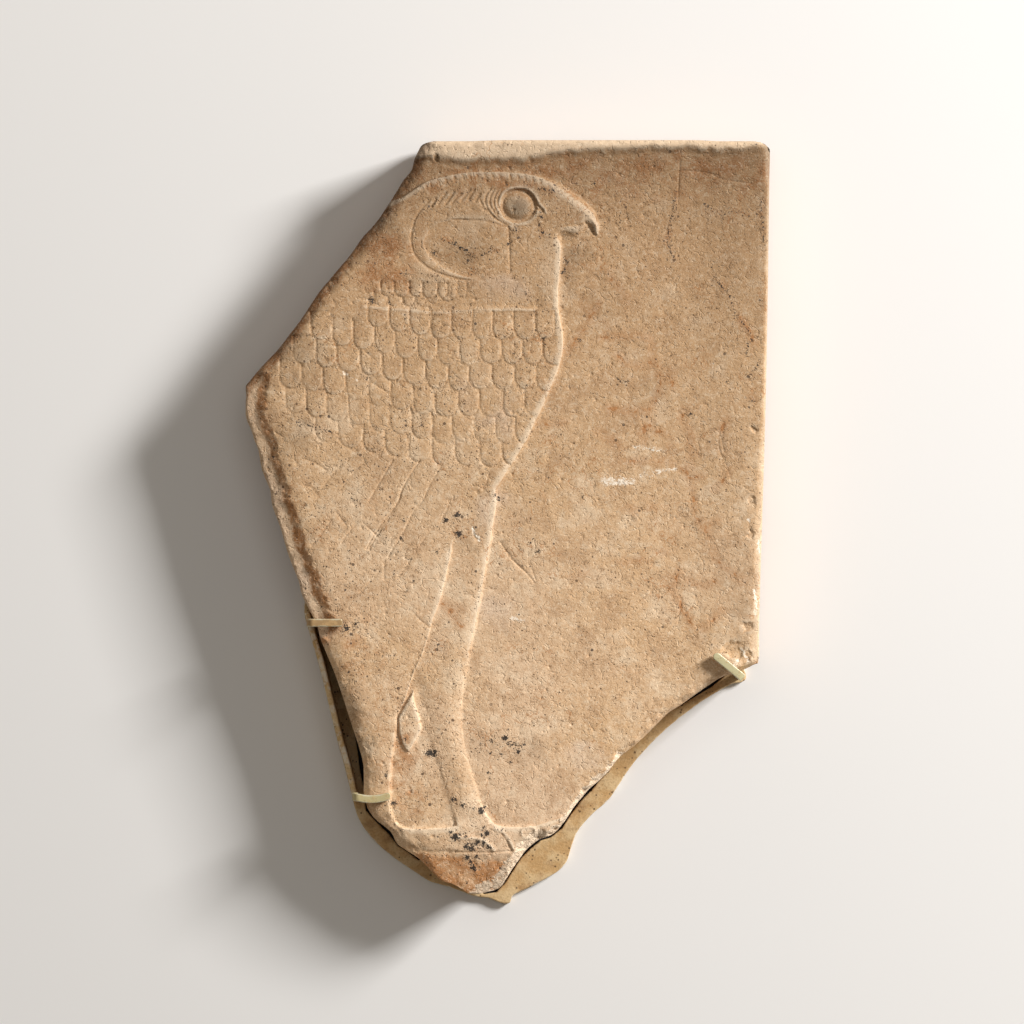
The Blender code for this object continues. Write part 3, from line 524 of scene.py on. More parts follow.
# Below the bird's base line the lower left break falls off as one worn plane.
plane = -88.6 - face_y - 0.085 * (face_x + 14.0) + 0.5 * rough(face_x, face_y, 7.0, 79)
plane = plane * ease((3.5 - face_x) / 4.0)
breaks["worn plane"] = 0.30 * np.clip(plane, 0.0, None) ** 1.05

# The right margin is chipped, most near its lower end.
corner = np.interp(face_y, [-40.0, -27.0, -8.0, 12.0, 30.0, 50.0], [2.8, 2.4, 2.0, 1.8, 1.3, 0.6])
from_right = row_right[:, None] - face_x
chipped = 0.42 * corner * (1.0 - from_right / corner).clip(0.0, 1.0) ** 1.2
chipped = chipped * (0.8 + 0.3 * cloud(face_x, face_y, 3.5, 97))
breaks["right margin"] = np.where(face_y > -38.0, chipped, 0.0)
fallen = np.maximum.reduce([*worn_edges, *breaks.values()])
height -= fallen

# Fine unevenness of a hand-worked and weathered face, heavier on the break surfaces.
broken = ease(np.maximum.reduce([*breaks.values()]) / 0.8)
height += 0.035 * rough(face_x, face_y, 3.4, 101, 2)
height += broken * (0.09 * rough(face_x, face_y, 3.0, 111) + 0.03 * rough(face_x, face_y, 0.8, 115, 1))

# Nicks left by the tools and by later knocks: short shallow cuts, thickest on the head and neck.
NICKS = 900
chance = np.random.default_rng(23)
for _ in range(NICKS):
    x0, y0 = chance.uniform(-68, 69), chance.uniform(-90, 98)
    turn, length = chance.normal(0.9, 0.8), chance.uniform(0.4, 1.6)
    depth, half_width = chance.uniform(0.03, 0.11), chance.uniform(0.25, 0.5)
    often = 1.0 if y0 > 56 and x0 < 12 else 0.45 + 0.35 * (x0 < -30)
    box = square_at(x0, y0, length + 0.6)
    if chance.random() > often or box is None:
        continue
    x, y = face_x[box] - x0, face_y[box] - y0
    along, across = x * math.cos(turn) + y * math.sin(turn), y * math.cos(turn) - x * math.sin(turn)
    past_end = np.clip(np.abs(along) - length, 0.0, None)
    away = np.hypot(past_end, across + 0.12 * along**2 / length) / half_width
    height[box] -= depth * (1.0 - away).clip(0.0, 1.0)

# Chips along the edges, each with its middle, radius, depth and seed, and pits all over.
CHIPS = [
    (-19.5, 98.6, 1.0, 0.4, 1), (61.5, -34.0, 3.0, 0.5, 2), (64.0, -36.5, 2.0, 0.6, 3),
    (-9.0, 102.6, 3.5, 0.25, 4), (-3.0, 102.7, 2.5, 0.2, 5), (66.0, 6.0, 1.4, 0.35, 6),
    (66.5, 25.0, 1.2, 0.35, 7), (66.0, -3.0, 1.6, 0.4, 8), (64.5, -28.0, 1.8, 0.45, 9),
]
for middle_x, middle_y, radius, depth, seed in CHIPS:
    box = square_at(middle_x, middle_y, 2 * radius)
    if box is None:
        continue
    x, y = face_x[box], face_y[box]
    away = np.hypot(x - middle_x, y - middle_y) / radius + 0.45 * rough(x, y, radius, 120 + seed)
    height[box] -= depth * ease(1.6 * (1.0 - away))

PITS = 420
chance = np.random.default_rng(19)
pit_x, pit_y = chance.uniform(-70, 70, PITS), chance.uniform(-98, 100, PITS)
pit_size, pit_depth = chance.uniform(0.3, 0.75, PITS), chance.uniform(0.08, 0.3, PITS)
for x0, y0, size, depth in zip(pit_x, pit_y, pit_size, pit_depth):
    if x0 > 18 and chance.random() < 0.55:
        continue
    box = square_at(x0, y0, size)
    if box is not None:
        away = np.hypot(face_x[box] - x0, face_y[box] - y0) / size
        height[box] -= depth * ease(1.25 * (1.0 - away))

# What the finish needs to know at each point: how far inside a dark crust and how near a rust line or a
# pale scuff it lies, in millimetres, then soil, stain and painted shade, relief and tone. A crust has x,
# y and radius.
CRUSTS = [
    (-16.7, 0.5, 0.86), (-13.6, 2.0, 0.92), (-13.2, -3.1, 1.08), (-28.8, -4.3, 0.7),
    (-27.7, -18.5, 0.7), (-26.1, -15.9, 0.49), (-28.1, 0.5, 0.49), (-19.0, -8.2, 0.59),
    (6.1, -5.4, 0.54), (6.8, -4.7, 0.43), (8.4, -7.8, 0.59), (7.6, -8.2, 0.49), (3.7, -7.7, 0.43),
    (-2.1, -11.1, 0.59), (-2.9, 6.8, 0.59), (-2.4, 5.9, 0.49), (-3.3, 7.4, 0.49), (-21.0, -62.4, 1.35),
    (-19.9, -62.4, 1.08), (-21.8, -62.5, 0.7), (-27.7, -58.6, 0.65), (-33.0, -68.3, 0.65),
    (-7.9, -40.6, 0.59), (-10.5, -54.4, 0.7), (-0.7, -58.3, 1.08), (-4.5, -59.1, 0.7),
    (-7.0, -60.1, 0.65), (-8.6, -61.4, 0.54), (-4.8, -62.2, 0.65), (-1.7, -63.1, 0.59),
    (2.1, -59.9, 0.76), (2.8, -61.8, 0.97), (4.1, -60.2, 0.65), (0.9, -60.5, 0.59),
    (-5.1, -67.9, 0.59), (0.9, -64.8, 0.54), (8.7, -63.5, 0.49), (0.1, -59.9, 0.54),
    (-2.9, -60.2, 0.49), (-14.8, -75.0, 0.92), (-12.2, -76.4, 0.86), (-9.1, -77.5, 0.59),
    (-7.1, -78.0, 1.08), (-6.4, -77.0, 0.59), (-30.8, -75.9, 0.97), (-32.3, -76.0, 0.43),
    (-14.2, -85.1, 1.4), (-15.3, -83.7, 0.81), (-12.9, -84.2, 0.81), (-11.3, -84.8, 0.65),
    (-6.4, -82.9, 0.97), (-5.6, -84.0, 0.97), (-7.2, -84.5, 0.65), (-2.6, -82.8, 0.43),
    (-1.6, -83.0, 0.43), (-11.0, -87.5, 1.13), (-9.7, -88.0, 1.19), (-8.3, -86.7, 1.03),
    (-6.7, -86.7, 0.92), (-5.3, -87.5, 0.86), (-4.5, -88.0, 0.59), (-8.0, -88.0, 0.65),
    (-11.0, -90.5, 0.92), (-8.3, -90.3, 0.81), (-9.9, -91.8, 0.92), (-9.4, -93.2, 0.97),
    (-8.8, -94.2, 0.7), (-11.0, -97.5, 0.49), (-43.7, -28.5, 0.97), (-42.9, -28.9, 0.65),
    (-41.0, -27.5, 0.81), (-40.7, -28.4, 0.59), (-41.8, -29.2, 0.49), (-44.5, -29.4, 0.49),
    (-36.7, 60.2, 0.92), (-36.7, 59.1, 0.65), (-32.1, 59.1, 0.43), (-28.6, 67.2, 0.43),
    (-26.9, 66.7, 0.49), (-19.6, 65.7, 0.49), (-19.9, 72.6, 0.81), (-18.0, 67.2, 0.43),
    (2.2, 78.8, 0.81), (2.8, 77.4, 0.43), (0.1, 75.1, 0.65), (1.4, 75.9, 0.54), (-14.2, 75.3, 0.7),
    (-12.9, 74.0, 0.7), (-11.3, 73.4, 0.81), (-9.1, 71.8, 0.54), (-4.3, 74.5, 0.54),
    (-3.2, 73.4, 0.54), (-2.6, 72.6, 0.49), (9.0, 82.4, 0.54), (8.7, 83.6, 0.49), (8.6, 81.0, 0.43),
    (9.0, 79.9, 0.43), (9.5, 78.0, 0.65), (8.7, 77.2, 0.59), (10.3, 77.9, 0.49), (11.7, 89.6, 0.7),
    (12.5, 89.4, 0.54), (10.3, 89.6, 0.49), (8.4, 90.2, 0.43), (14.9, 67.5, 0.65), (16.0, 70.5, 0.65),
    (15.7, 69.1, 0.54), (19.8, 75.2, 0.43), (23.3, 91.5, 0.59), (29.2, 88.3, 0.49), (53.3, 85.9, 0.43),
    (54.1, 84.8, 0.54), (55.1, 84.0, 0.49), (18.2, 49.1, 0.54), (19.5, 49.0, 0.65), (9.5, 49.7, 0.43),
    (45.7, 42.4, 0.43), (55.7, 43.2, 0.43), (49.2, 28.9, 0.7), (29.8, 38.6, 0.43), (30.8, 37.8, 0.54),
    (32.5, 38.3, 0.43), (20.0, 7.0, 0.7), (20.6, 7.6, 0.43), (22.5, 12.4, 0.49), (4.9, 61.8, 0.43),
    (-13.3, 49.7, 0.43), (9.8, 49.7, 0.54), (2.0, 43.2, 0.43), (-26.1, 15.1, 0.43), (-34.5, 9.5, 0.43),
    (-42.1, 6.2, 0.43), (-49.9, 4.1, 0.43), (-63.1, 20.0, 0.59), (-63.4, 17.6, 0.59),
    (-62.0, 18.9, 0.49), (-54.7, 14.0, 0.49), (-42.9, -7.8, 0.54), (-37.5, -8.4, 0.54),
    (-40.7, -35.9, 0.54), (-42.9, -40.5, 0.54), (-43.9, -43.7, 0.49), (-42.1, -46.7, 0.43),
    (-34.8, -57.5, 0.43), (65.9, 48.9, 0.43), (67.0, 41.3, 0.43), (65.7, 32.9, 0.43),
]
crust = np.full(face_x.shape, -3.0)
for x0, y0, radius in CRUSTS:
    box = square_at(x0, y0, radius + 3)
    if box is not None:
        crust[box] = np.maximum(crust[box], radius - np.hypot(face_x[box] - x0, face_y[box] - y0))
LINE_REACH = 2.5
TRAILS = [
    [(45.4, 89.1), (44.3, 82.4), (43.5, 79.7), (43.4, 74.5), (45.2, 70.7)],
    [(53.8, 85.4), (54.9, 84.5)],
    [(58.1, 81.7), (59.2, 83.7), (63.0, 83.7), (64.9, 83.5)],
    [(68.4, 86.9), (68.9, 78.6), (69.2, 75.6)],
    [(56.2, 65.1), (59.6, 61.6), (61.3, 56.8), (65.0, 51.4), (65.4, 49.4), (64.3, 45.4)],
    [(67.8, 43.9), (67.0, 41.6)],
    [(64.6, 32.7), (66.8, 32.7)],
    [(14.9, 67.5), (15.7, 69.1), (16.0, 70.5)],
    [(-18.0, 76.5), (-12.9, 74.0), (-9.1, 71.8), (-3.2, 73.4)],
    [(9.0, 83.2), (8.6, 81.0), (9.3, 78.0), (11.3, 77.5)],
    [(-57.0, 27.0), (-52.0, 25.6), (-47.0, 24.0)],
]


def from_lines(lines):
    """Distance of every point from the nearest of several smooth lines, or LINE_REACH where it is more."""
    return np.minimum.reduce([gap(curve(line), LINE_REACH) for line in lines])


trail = from_lines(TRAILS)
crust = np.maximum(crust, 0.28 - 0.9 * trail)
height += 0.08 * ease(crust / 0.4) * (0.6 + 0.4 * cloud(face_x, face_y, 0.5, 131))

RUST_LINES = [
    [(26.5, 67.5), (28.4, 65.1), (30.3, 62.6), (32.2, 60.5), (31.7, 58.1)],
    [
        (37.9, 43.2), (40.0, 42.1), (41.1, 40.5), (41.1, 37.8), (40.8, 35.1), (40.0, 32.9),
        (38.9, 30.8), (37.3, 29.7), (34.6, 30.0),
    ],
    [(38.4, 26.7), (36.5, 25.4), (35.7, 23.8), (37.1, 21.6)],
    [(59.5, 28.1), (58.4, 26.5), (57.8, 24.8)],
    [(-17.8, -21.9), (-16.7, -22.7), (-15.6, -24.0), (-15.1, -25.4), (-14.2, -26.2)],
    [(-15.6, -24.0), (-14.2, -23.4), (-12.9, -23.2)],
    [(24.6, 58.9), (23.6, 57.0), (23.0, 55.1)],
    [(62.7, 55.1), (64.6, 52.9), (66.8, 47.8)],
    [(20.3, 59.9), (22.2, 55.1), (20.3, 51.8), (18.2, 49.1), (16.3, 46.4)],
    [(29.8, 44.8), (32.7, 42.4), (37.9, 42.4), (40.0, 43.7)],
    [(25.4, 49.7), (32.7, 50.5), (37.9, 49.7), (39.2, 45.9), (40.3, 42.4)],
    [(44.3, 41.0), (44.3, 36.2)],
    [(35.7, 23.5), (37.9, 24.8), (41.4, 24.3), (44.1, 22.1), (44.3, 19.4)],
    [
        (47.6, 30.5), (47.3, 27.8), (48.7, 24.8), (49.5, 21.3), (49.7, 15.4), (49.5, 12.4),
        (49.7, 8.1), (50.3, 5.4), (51.6, 0.8), (53.8, -2.7), (55.1, -7.8), (56.8, -10.8),
        (59.7, -13.2), (64.1, -16.2),
    ],
    [(30.6, 16.5), (36.2, 16.2), (41.4, 16.5), (45.2, 15.4), (47.6, 14.0), (48.4, 12.2), (52.4, 12.6)],
    [(53.8, -2.7), (55.1, -0.5), (56.8, 0.8)],
    [(56.0, 8.9), (58.9, 11.9), (59.7, 14.0)],
    [(29.8, -10.8), (33.5, -10.3), (37.1, -10.3)],
    [(16.8, -14.9), (20.3, -14.3)],
    [(45.2, -15.9), (46.8, -13.0)],
    [(48.4, -15.9), (52.4, -17.3), (56.0, -16.2)],
    [
        (43.5, -17.3), (46.5, -21.1), (46.8, -23.2), (49.5, -26.7), (52.4, -28.9), (55.1, -26.7),
        (58.1, -23.8),
    ],
    [(8.7, 26.5), (13.0, 26.7), (16.0, 27.0)],
    [(26.8, 30.8), (32.7, 30.0), (34.6, 28.6)],
    [(24.1, 24.3), (27.6, 22.1), (30.6, 19.7)],
    [(31.4, 4.1), (34.1, 3.0)],
    [(37.9, 4.1), (40.0, 4.1)],
    [(40.0, -8.1), (42.5, -8.4)],
    [(-14.2, -26.2), (-12.4, -28.1)],
]
SCUFFS = [
    [(24.6, 11.9), (28.1, 12.2), (31.7, 11.9)],
    [(25.2, 11.2), (29.8, 11.1), (34.6, 11.3)],
    [(26.0, 10.4), (30.3, 10.3), (34.1, 10.7)],
    [(35.7, 13.0), (39.8, 13.6), (45.7, 14.3)],
    [(36.2, 12.4), (40.6, 13.1)],
    [(33.5, 20.5), (38.9, 19.7), (43.8, 18.9)],
    [(-9.4, 0.5), (-9.4, -2.4), (-7.5, -4.9)],
    [(61.4, 3.5), (61.9, 2.7)],
    [(64.9, 0.8), (65.9, 0.0)],
    [(54.9, 42.9), (55.4, 41.6)],
    [(67.6, -4.9), (67.8, -8.4)],
    [(66.5, -18.4), (67.0, -21.9), (66.8, -25.1)],
    [(-44.5, 40.2), (-42.1, 39.2), (-39.9, 38.3)],
    [(1.1, -25.9), (4.7, -26.7)],
    [(57.3, -35.9), (60.3, -39.2), (62.2, -37.3)],
    [(63.2, -34.6), (64.9, -37.3)],
]
rust, scuff = -from_lines(RUST_LINES), -from_lines(SCUFFS)
on_fracture = ease(np.maximum(breaks["fracture"], breaks["fracture end"]) / 0.25)

# Soil has x, y, radius and share. Stains and tones are ovals with x, y, half width, half height and
# share, and a tone's share darkens where it is above 0 and bleaches where it is below.
SOIL = [
    (-52.0, 17.3, 4.6, 0.5), (-42.1, 35.1, 3.5, 0.35), (-31.3, 49.7, 5.4, 0.3),
    (-7.5, 49.7, 10.8, 0.2), (-26.4, 13.5, 3.8, 0.3), (-15.1, 0.0, 5.4, 0.5), (-11.5, -13.0, 3.8, 0.5),
    (1.1, -60.8, 6.5, 0.9), (30.3, 37.3, 3.8, 0.5), (66.8, 41.0, 4.9, 0.6), (66.8, 49.1, 4.3, 0.5),
    (12.8, 49.1, 4.9, 0.3), (56.0, 84.8, 4.9, 0.4), (29.0, 85.6, 7.6, 0.35), (-12.4, 73.2, 7.6, 0.6),
    (10.1, 78.3, 3.2, 0.5), (-46.1, 47.0, 3.8, 0.35), (-37.2, 0.5, 9.7, 0.25),
    (-13.7, -76.1, 4.3, 0.3), (8.7, -6.8, 6.5, 0.5), (-0.5, -49.7, 3.2, 0.35), (-8.0, -89.9, 5.9, 0.5),
    (-18.3, 34.3, 16.2, 0.12), (-33.1, -58.9, 4.3, 0.3), (-40.7, -48.1, 3.2, 0.35),
    (-42.6, -40.0, 3.2, 0.3), (-2.1, -21.1, 3.8, 0.2), (24.9, 23.5, 10.8, 0.15),
    (35.7, -2.2, 16.2, 0.08), (51.9, 82.9, 10.8, 0.2), (-4.8, 59.9, 8.1, 0.15),
    (-53.4, 32.9, 5.4, 0.3), (-29.1, 24.8, 13.5, 0.12), (2.0, 43.7, 4.9, 0.25),
    (-21.0, -60.2, 2.7, 0.25),
]
STAINS = [
    (-33.0, 70.0, 16.0, 18.0, 0.75), (4.0, 90.5, 18.0, 4.0, 0.5), (-28.0, -66.0, 10.0, 26.0, 0.55),
    (-40.0, -36.0, 12.0, 16.0, 0.40),
]
TONES = [
    (-34.5, 77.5, 8.1, 10.8, 0.35), (-11.5, 73.4, 10.3, 5.9, 0.22),
    (-0.7, 62.6, 12.2, 5.9, -0.8), (16.8, 68.6, 3.8, 10.3, 0.22), (3.3, 84.2, 3.8, 3.8, 0.3),
    (3.3, 85.6, 3.8, 4.3, 0.2), (-56.1, 43.7, 10.8, 10.8, 0.25), (-57.4, 24.8, 8.1, 10.8, 0.25),
    (-4.8, 32.9, 16.2, 18.9, -0.35), (-2.1, 3.2, 10.8, 8.1, -0.5), (24.9, -15.7, 12.2, 5.9, -0.5),
    (-2.1, -23.8, 10.8, 10.8, -0.6), (20.9, -62.9, 8.1, 6.8, -0.7), (-18.3, -26.5, 5.4, 16.2, -0.3),
    (38.4, 35.6, 5.9, 5.4, 0.18), (24.9, 59.9, 8.1, 10.8, 0.1), (19.5, 72.1, 6.5, 3.8, 0.15),
    (62.7, -13.0, 8.1, 16.2, 0.1), (64.1, -26.5, 5.4, 10.8, 0.12), (-7.5, -60.2, 8.1, 5.9, 0.1),
    (6.0, -61.6, 6.5, 4.9, 0.2), (-42.6, -53.5, 5.4, 16.2, 0.12), (-38.5, -60.2, 4.3, 4.3, 0.2),
    (2.0, -86.4, 5.4, 3.8, 0.15),
]


def oval(x, y, wide, tall, gain):
    """A soft oval spot: ease of gain (1 - r), where r grows from 0 in its middle to 1 on its rim."""
    return ease(gain * (1.0 - np.hypot((face_x - x) / wide, (face_y - y) / tall)))


def blurred(values, times):
    """Each pass gives every point the mean of itself and its four neighbours on the grid."""
    for _ in range(times):
        held = np.pad(values, 1, mode="edge")
        values = (values + held[:-2, 1:-1] + held[2:, 1:-1] + held[1:-1, :-2] + held[1:-1, 2:]) / 5
    return values


soil = np.where(figure, 0.40, 0.15)
for x0, y0, radius, share in SOIL:
    soil += share * oval(x0, y0, radius, radius, 1.3)
soil = np.clip(soil, 0.0, 1.0)
stain_and_shade = np.maximum.reduce([
    0.80 * ease(breaks["worn plane"] / 1.2),
    0.45 * ease(breaks["bottom"] / 1.5),
    0.85 * ease(breaks["upper left"] / 0.8),
    0.75 * ease(breaks["left"] / 0.5) * (1.0 - ease((breaks["left"] - 1.2) / 0.4)),
    0.35 * ease(1.0 - trail / 2.4),
    # The cove under the top margin: brown that is part stain, part painted shade.
    0.5 * ease(1.0 - np.abs(face_y - 95.0) / 14.0) * ease(below / 1.5),
    *(share * oval(*spot, 1.0) for *spot, share in STAINS),
])

# Relief is 1 on what stands proud of its surroundings, on worn edges and on the band above the top
# ridge, and -1 deep in the cuts. The finish paints the proud places lighter, as wear and painted
# highlight, and the deep ones darker, as painted shade.
whole = height + fallen
relief = np.clip((whole - blurred(whole, 40)) / 0.2, -1.0, 1.0)
worn = np.maximum.reduce([*worn_edges, breaks["right margin"]])
relief = np.maximum(relief, 0.5 * ease(worn / 0.35))
relief = np.maximum(relief, 0.9 * (1.0 - ease((below + 0.3) / 0.8)))

# The stone is darker towards the top, most under the top margin and on the upper left, and least low
# down; the band above the top ridge is kept lighter.
TONE_STEPS_Y = [-90.0, -55.0, -20.0, 15.0, 45.0, 72.0, 88.0, 99.0]
TONE_STEPS = [1.08, 1.10, 1.04, 0.95, 0.90, 0.83, 0.69, 0.56]
tone = np.interp(face_y, TONE_STEPS_Y, TONE_STEPS)
on_right = 0.10 * ease((face_x - 44.0) / 18.0) * ease((face_y - 38.0) / 30.0)
tone *= 1.0 - on_right - 0.04 * ease((face_x - 46.0) / 10.0)
tone += (0.92 - tone) * (1.0 - ease((below + 0.5) / 1.0))
tone *= 1.0 - 0.40 * ease(breaks["upper left"] / 0.8)
tone *= 1.0 + 0.35 * ease(breaks["worn plane"] / 0.8)
pale = 0.5 * ease(breaks["left"] / 1.2)
uneven = 0.75 + 0.5 * cloud(face_x, face_y, 5.0, 171)
for *spot, share in TONES:
    there = oval(*spot, 1.4) * uneven
    tone *= 1.0 - max(share, 0.0) * there
    pale += max(-share, 0.0) * there
pale = np.clip(pale, 0.0, 1.0)

# The mesh: the face, then rings down the sides and in across the back to its middle.
wiggle = 0.29 * ease((face_y - 96.0) / 6.0) * ease((face_x + 12.0) / 12.0) * ease((58.0 - face_x) / 8.0)
face_y = face_y + wiggle
number = np.arange(face_x.size).reshape(face_x.shape)
border = np.concatenate([number[0], number[1:, -1], number[-1, -2::-1], number[-2:0:-1, 0]])
places = np.stack([face_x, face_y, FACE + height], axis=-1).reshape(-1, 3)
rim = places[border]
along = np.roll(rim[:, :2], -1, axis=0) - np.roll(rim[:, :2], 1, axis=0)
for _ in range(6):
    along = (along + np.roll(along, 1, axis=0) + np.roll(along, -1, axis=0)) / 3
out = np.stack([along[:, 1], -along[:, 0]], axis=1) / np.linalg.norm(along, axis=1)[:, None]
travel = np.cumsum(np.linalg.norm(rim[:, :2] - np.roll(rim[:, :2], 1, axis=0), axis=1))
dressed = ease((rim[:, 1] - 100.5) / 1.5) + ease((rim[:, 0] - 66.8) / 0.8) * (rim[:, 1] > -37.5)
dressed = np.clip(dressed, 0.0, 1.0)[:, None]
SIDE_RINGS = 40
BACK_RINGS = 16
HOLLOW = 0.06
down = np.linspace(0.0, 1.0, SIDE_RINGS + 1)[1:]
side_z = rim[:, 2:] + (BACK - rim[:, 2:]) * down
side_s = np.repeat(travel[:, None], SIDE_RINGS, axis=1)
inward = 0.85 * ease(down) * (1 - dressed) + 0.55 * ease((down - 0.93) / 0.07)
fray = 0.55 * (1 + rough(side_s, side_z, 5.0, 141, 4)) * ease(down * 6)
plain = 0.10 * (1 + rough(side_s * 0.4, side_z, 2.2, 151, 3)) * ease(down * 6)
inward = np.maximum(inward + fray * (1 - dressed) + plain * dressed, 0.0)
side = rim[:, None, :2] - out[:, None] * inward[..., None]
side = np.concatenate([side, side_z[..., None]], axis=2).transpose(1, 0, 2)
heart = np.array([2.0, 10.0])
shrink = np.linspace(1.0, 0.0, BACK_RINGS + 1)[1:-1]
inner = heart + (side[-1][None, :, :2] - heart) * shrink[:, None, None]
hollow = HOLLOW * (1 + rough(inner[..., 0], inner[..., 1], 8.0, 161))
inner_z = BACK + hollow * ease((1 - shrink) / 0.05)[:, None]
inner = np.concatenate([inner, inner_z[..., None]], axis=2)
rings = np.concatenate([side, inner])
around = len(border)
on_rings = len(rings) * around
places = np.vstack([places, rings.reshape(-1, 3), [[*heart, BACK + HOLLOW]]])


def ring_faces(loops, turn=False):
    """Squares between neighbouring closed rings of points, turned to look the other way if asked."""
    here, there = loops[:-1], loops[1:]
    corners = [here, np.roll(here, -1, axis=1), np.roll(there, -1, axis=1), there]
    if turn:
        corners[1], corners[3] = corners[3], corners[1]
    return np.stack(corners, axis=-1).reshape(-1, 4)


def cap_faces(ring, pole, turn=False):
    """Triangles from a closed ring of points to one point, turned to look the other way if asked."""
    after, middle = np.roll(ring, -1), np.full(len(ring), pole)
    return np.stack([ring, middle, after] if turn else [ring, after, middle], axis=-1)


def mesh_of(name, places, squares, triangles):
    """A mesh from places in millimetres and the corner numbers of its faces, shaded smooth."""
    corners = np.concatenate([squares.ravel(), triangles.ravel()])
    starts = np.concatenate([4 * np.arange(len(squares)), squares.size + 3 * np.arange(len(triangles))])
    mesh = bpy.data.meshes.new(name)
    mesh.vertices.add(len(places))
    mesh.vertices.foreach_set("co", (places * MM).astype(np.float32).ravel())
    mesh.loops.add(len(corners))
    mesh.loops.foreach_set("vertex_index", corners.astype(np.int32))
    mesh.polygons.add(len(starts))
    mesh.polygons.foreach_set("loop_start", starts.astype(np.int32))
    mesh.update(calc_edges=True)
    mesh.validate()
    mesh.shade_smooth()
    return mesh


def placed(name, data):
    """A new object in the scene, at the origin."""
    thing = bpy.data.objects.new(name, data)
    bpy.context.scene.collection.objects.link(thing)
    return thing


def mark(mesh, name, values):
    """Stores one number at each point of the mesh."""
    layer = mesh.attributes.new(name, "FLOAT", "POINT")
    layer.data.foreach_set("value", np.asarray(values, dtype=np.float32).ravel())


corners = [number[:-1, :-1], number[:-1, 1:], number[1:, 1:], number[1:, :-1]]
loops = np.vstack([border, number.size + np.arange(on_rings).reshape(-1, around)])
squares = [np.stack(corners, axis=-1).reshape(-1, 4), ring_faces(loops, turn=True)]
fan = cap_faces(loops[-1], len(places) - 1, turn=True)
stone_mesh = mesh_of("carved_stone", places, np.vstack(squares), fan)
off_face = on_rings + 1
side_stain = np.full(off_face, 0.75)
side_stain[: SIDE_RINGS * around] = np.tile(0.35 * dressed[:, 0] + 0.75 * (1 - dressed[:, 0]), SIDE_RINGS)
STONE_MARKS = {
    "crust": (crust, -3.0),
    "rust": (rust, -LINE_REACH),
    "scuff": (scuff, -LINE_REACH),
    "relief": (relief, 0.0),
    "soil": (soil, 0.15),
    "stain_and_shade": (stain_and_shade, side_stain),
    "tone": (tone, 0.8),
    "pale": (pale, 0.0),
    "fresh": (on_fracture, 0.0),
}
for name, (on_face, elsewhere) in STONE_MARKS.items():
    mark(stone_mesh, name, np.concatenate([on_face.ravel(), np.broadcast_to(elsewhere, off_face)]))
stone = placed("carved_stone", stone_mesh)
if KEPT_SHARE < 1.0:
    thin = stone.modifiers.new("fewer_faces", "DECIMATE")
    thin.ratio = KEPT_SHARE


def feed(node, feeds):
    """Links another node's output to each named socket, or sets a plain value on it."""
    for key, value in feeds.items():
        if isinstance(value, bpy.types.NodeSocket):
            node.id_data.links.new(value, node.inputs[key])
        else:
            node.inputs[key].default_value = value


def put(kind, feeds, out=0, **settings):
    """Adds a node to the material of what feeds it, sets its options and returns one of its outputs."""
    tree = next(value.id_data for value in feeds.values() if isinstance(value, bpy.types.NodeSocket))
    node = tree.nodes.new(kind)
    for key, value in settings.items():
        setattr(node, key, value)
    feed(node, feeds)
    return node.outputs[out]


def sum_of(first, second, operation="ADD"):
    """Two numbers added up, or brought together by another operation."""
    return put("ShaderNodeMath", {0: first, 1: second}, operation=operation)


def product(first, second):
    """Two numbers multiplied."""
    return sum_of(first, second, "MULTIPLY")


def off_half(noise):
    """How far a noise is from one half, above or below."""
    return put("ShaderNodeMath", {0: sum_of(noise, 0.5, "SUBTRACT")}, operation="ABSOLUTE")


def weighed(*rows):
    """Several numbers added up, each times its own weight."""
    total = product(*rows[0])
    for row in rows[1:]:
        total = sum_of(total, product(*row))
    return total


def grain(place, size, detail=2.0, share=0.5, seed=0.0):
    """Noise from 0 to 1 with features of about the given size in millimetres."""
    place = put("ShaderNodeVectorMath", {0: place, 1: (seed, seed * 0.7, seed * 1.3)}, operation="ADD")
    feeds = {"Vector": place, "Scale": 1000.0 / size, "Detail": detail, "Roughness": share}
    return put("ShaderNodeTexNoise", feeds)


def range_of(value, low, high, to_low=0.0, to_high=1.0):
    """The value stretched so that low becomes to_low and high becomes to_high, eased and held between."""
    feeds = {"Value": value, "From Min": low, "From Max": high, "To Min": to_low, "To Max": to_high}
    return put("ShaderNodeMapRange", feeds, interpolation_type="SMOOTHSTEP")


def blend(amount, first, second):
    """A colour between two colours."""
    return put("ShaderNodeMix", {0: amount, 6: first, 7: second}, out=2, data_type="RGBA")


def layers(colour, *rows):
    """Tints laid over a colour one after another. A row has the tint, a number, where the tint starts
    to show and where it shows most, and how much of it that is."""
    for tint, value, low, high, most in rows:
        colour = blend(range_of(value, low, high, 0.0, most), colour, tint)
    return colour


def new_finish(name):
    """A fresh material and the object's own coordinates in it."""
    material = bpy.data.materials.new(name)
    material.use_nodes = True
    return material, material.node_tree.nodes.new("ShaderNodeTexCoord").outputs[3]


def stored(material, name):
    """The number of that name that mark stored at each point."""
    node = material.node_tree.nodes.new("ShaderNodeAttribute")
    node.attribute_name = name
    return node.outputs[2]


def coat(material, bumps, feeds):
    """Feeds the shader, and raises its surface by a number in millimetres."""
    normal = put("ShaderNodeBump", {"Height": bumps, "Strength": 1.0, "Distance": MM})
    feed(material.node_tree.nodes["Principled BSDF"], {**feeds, "Normal": normal})


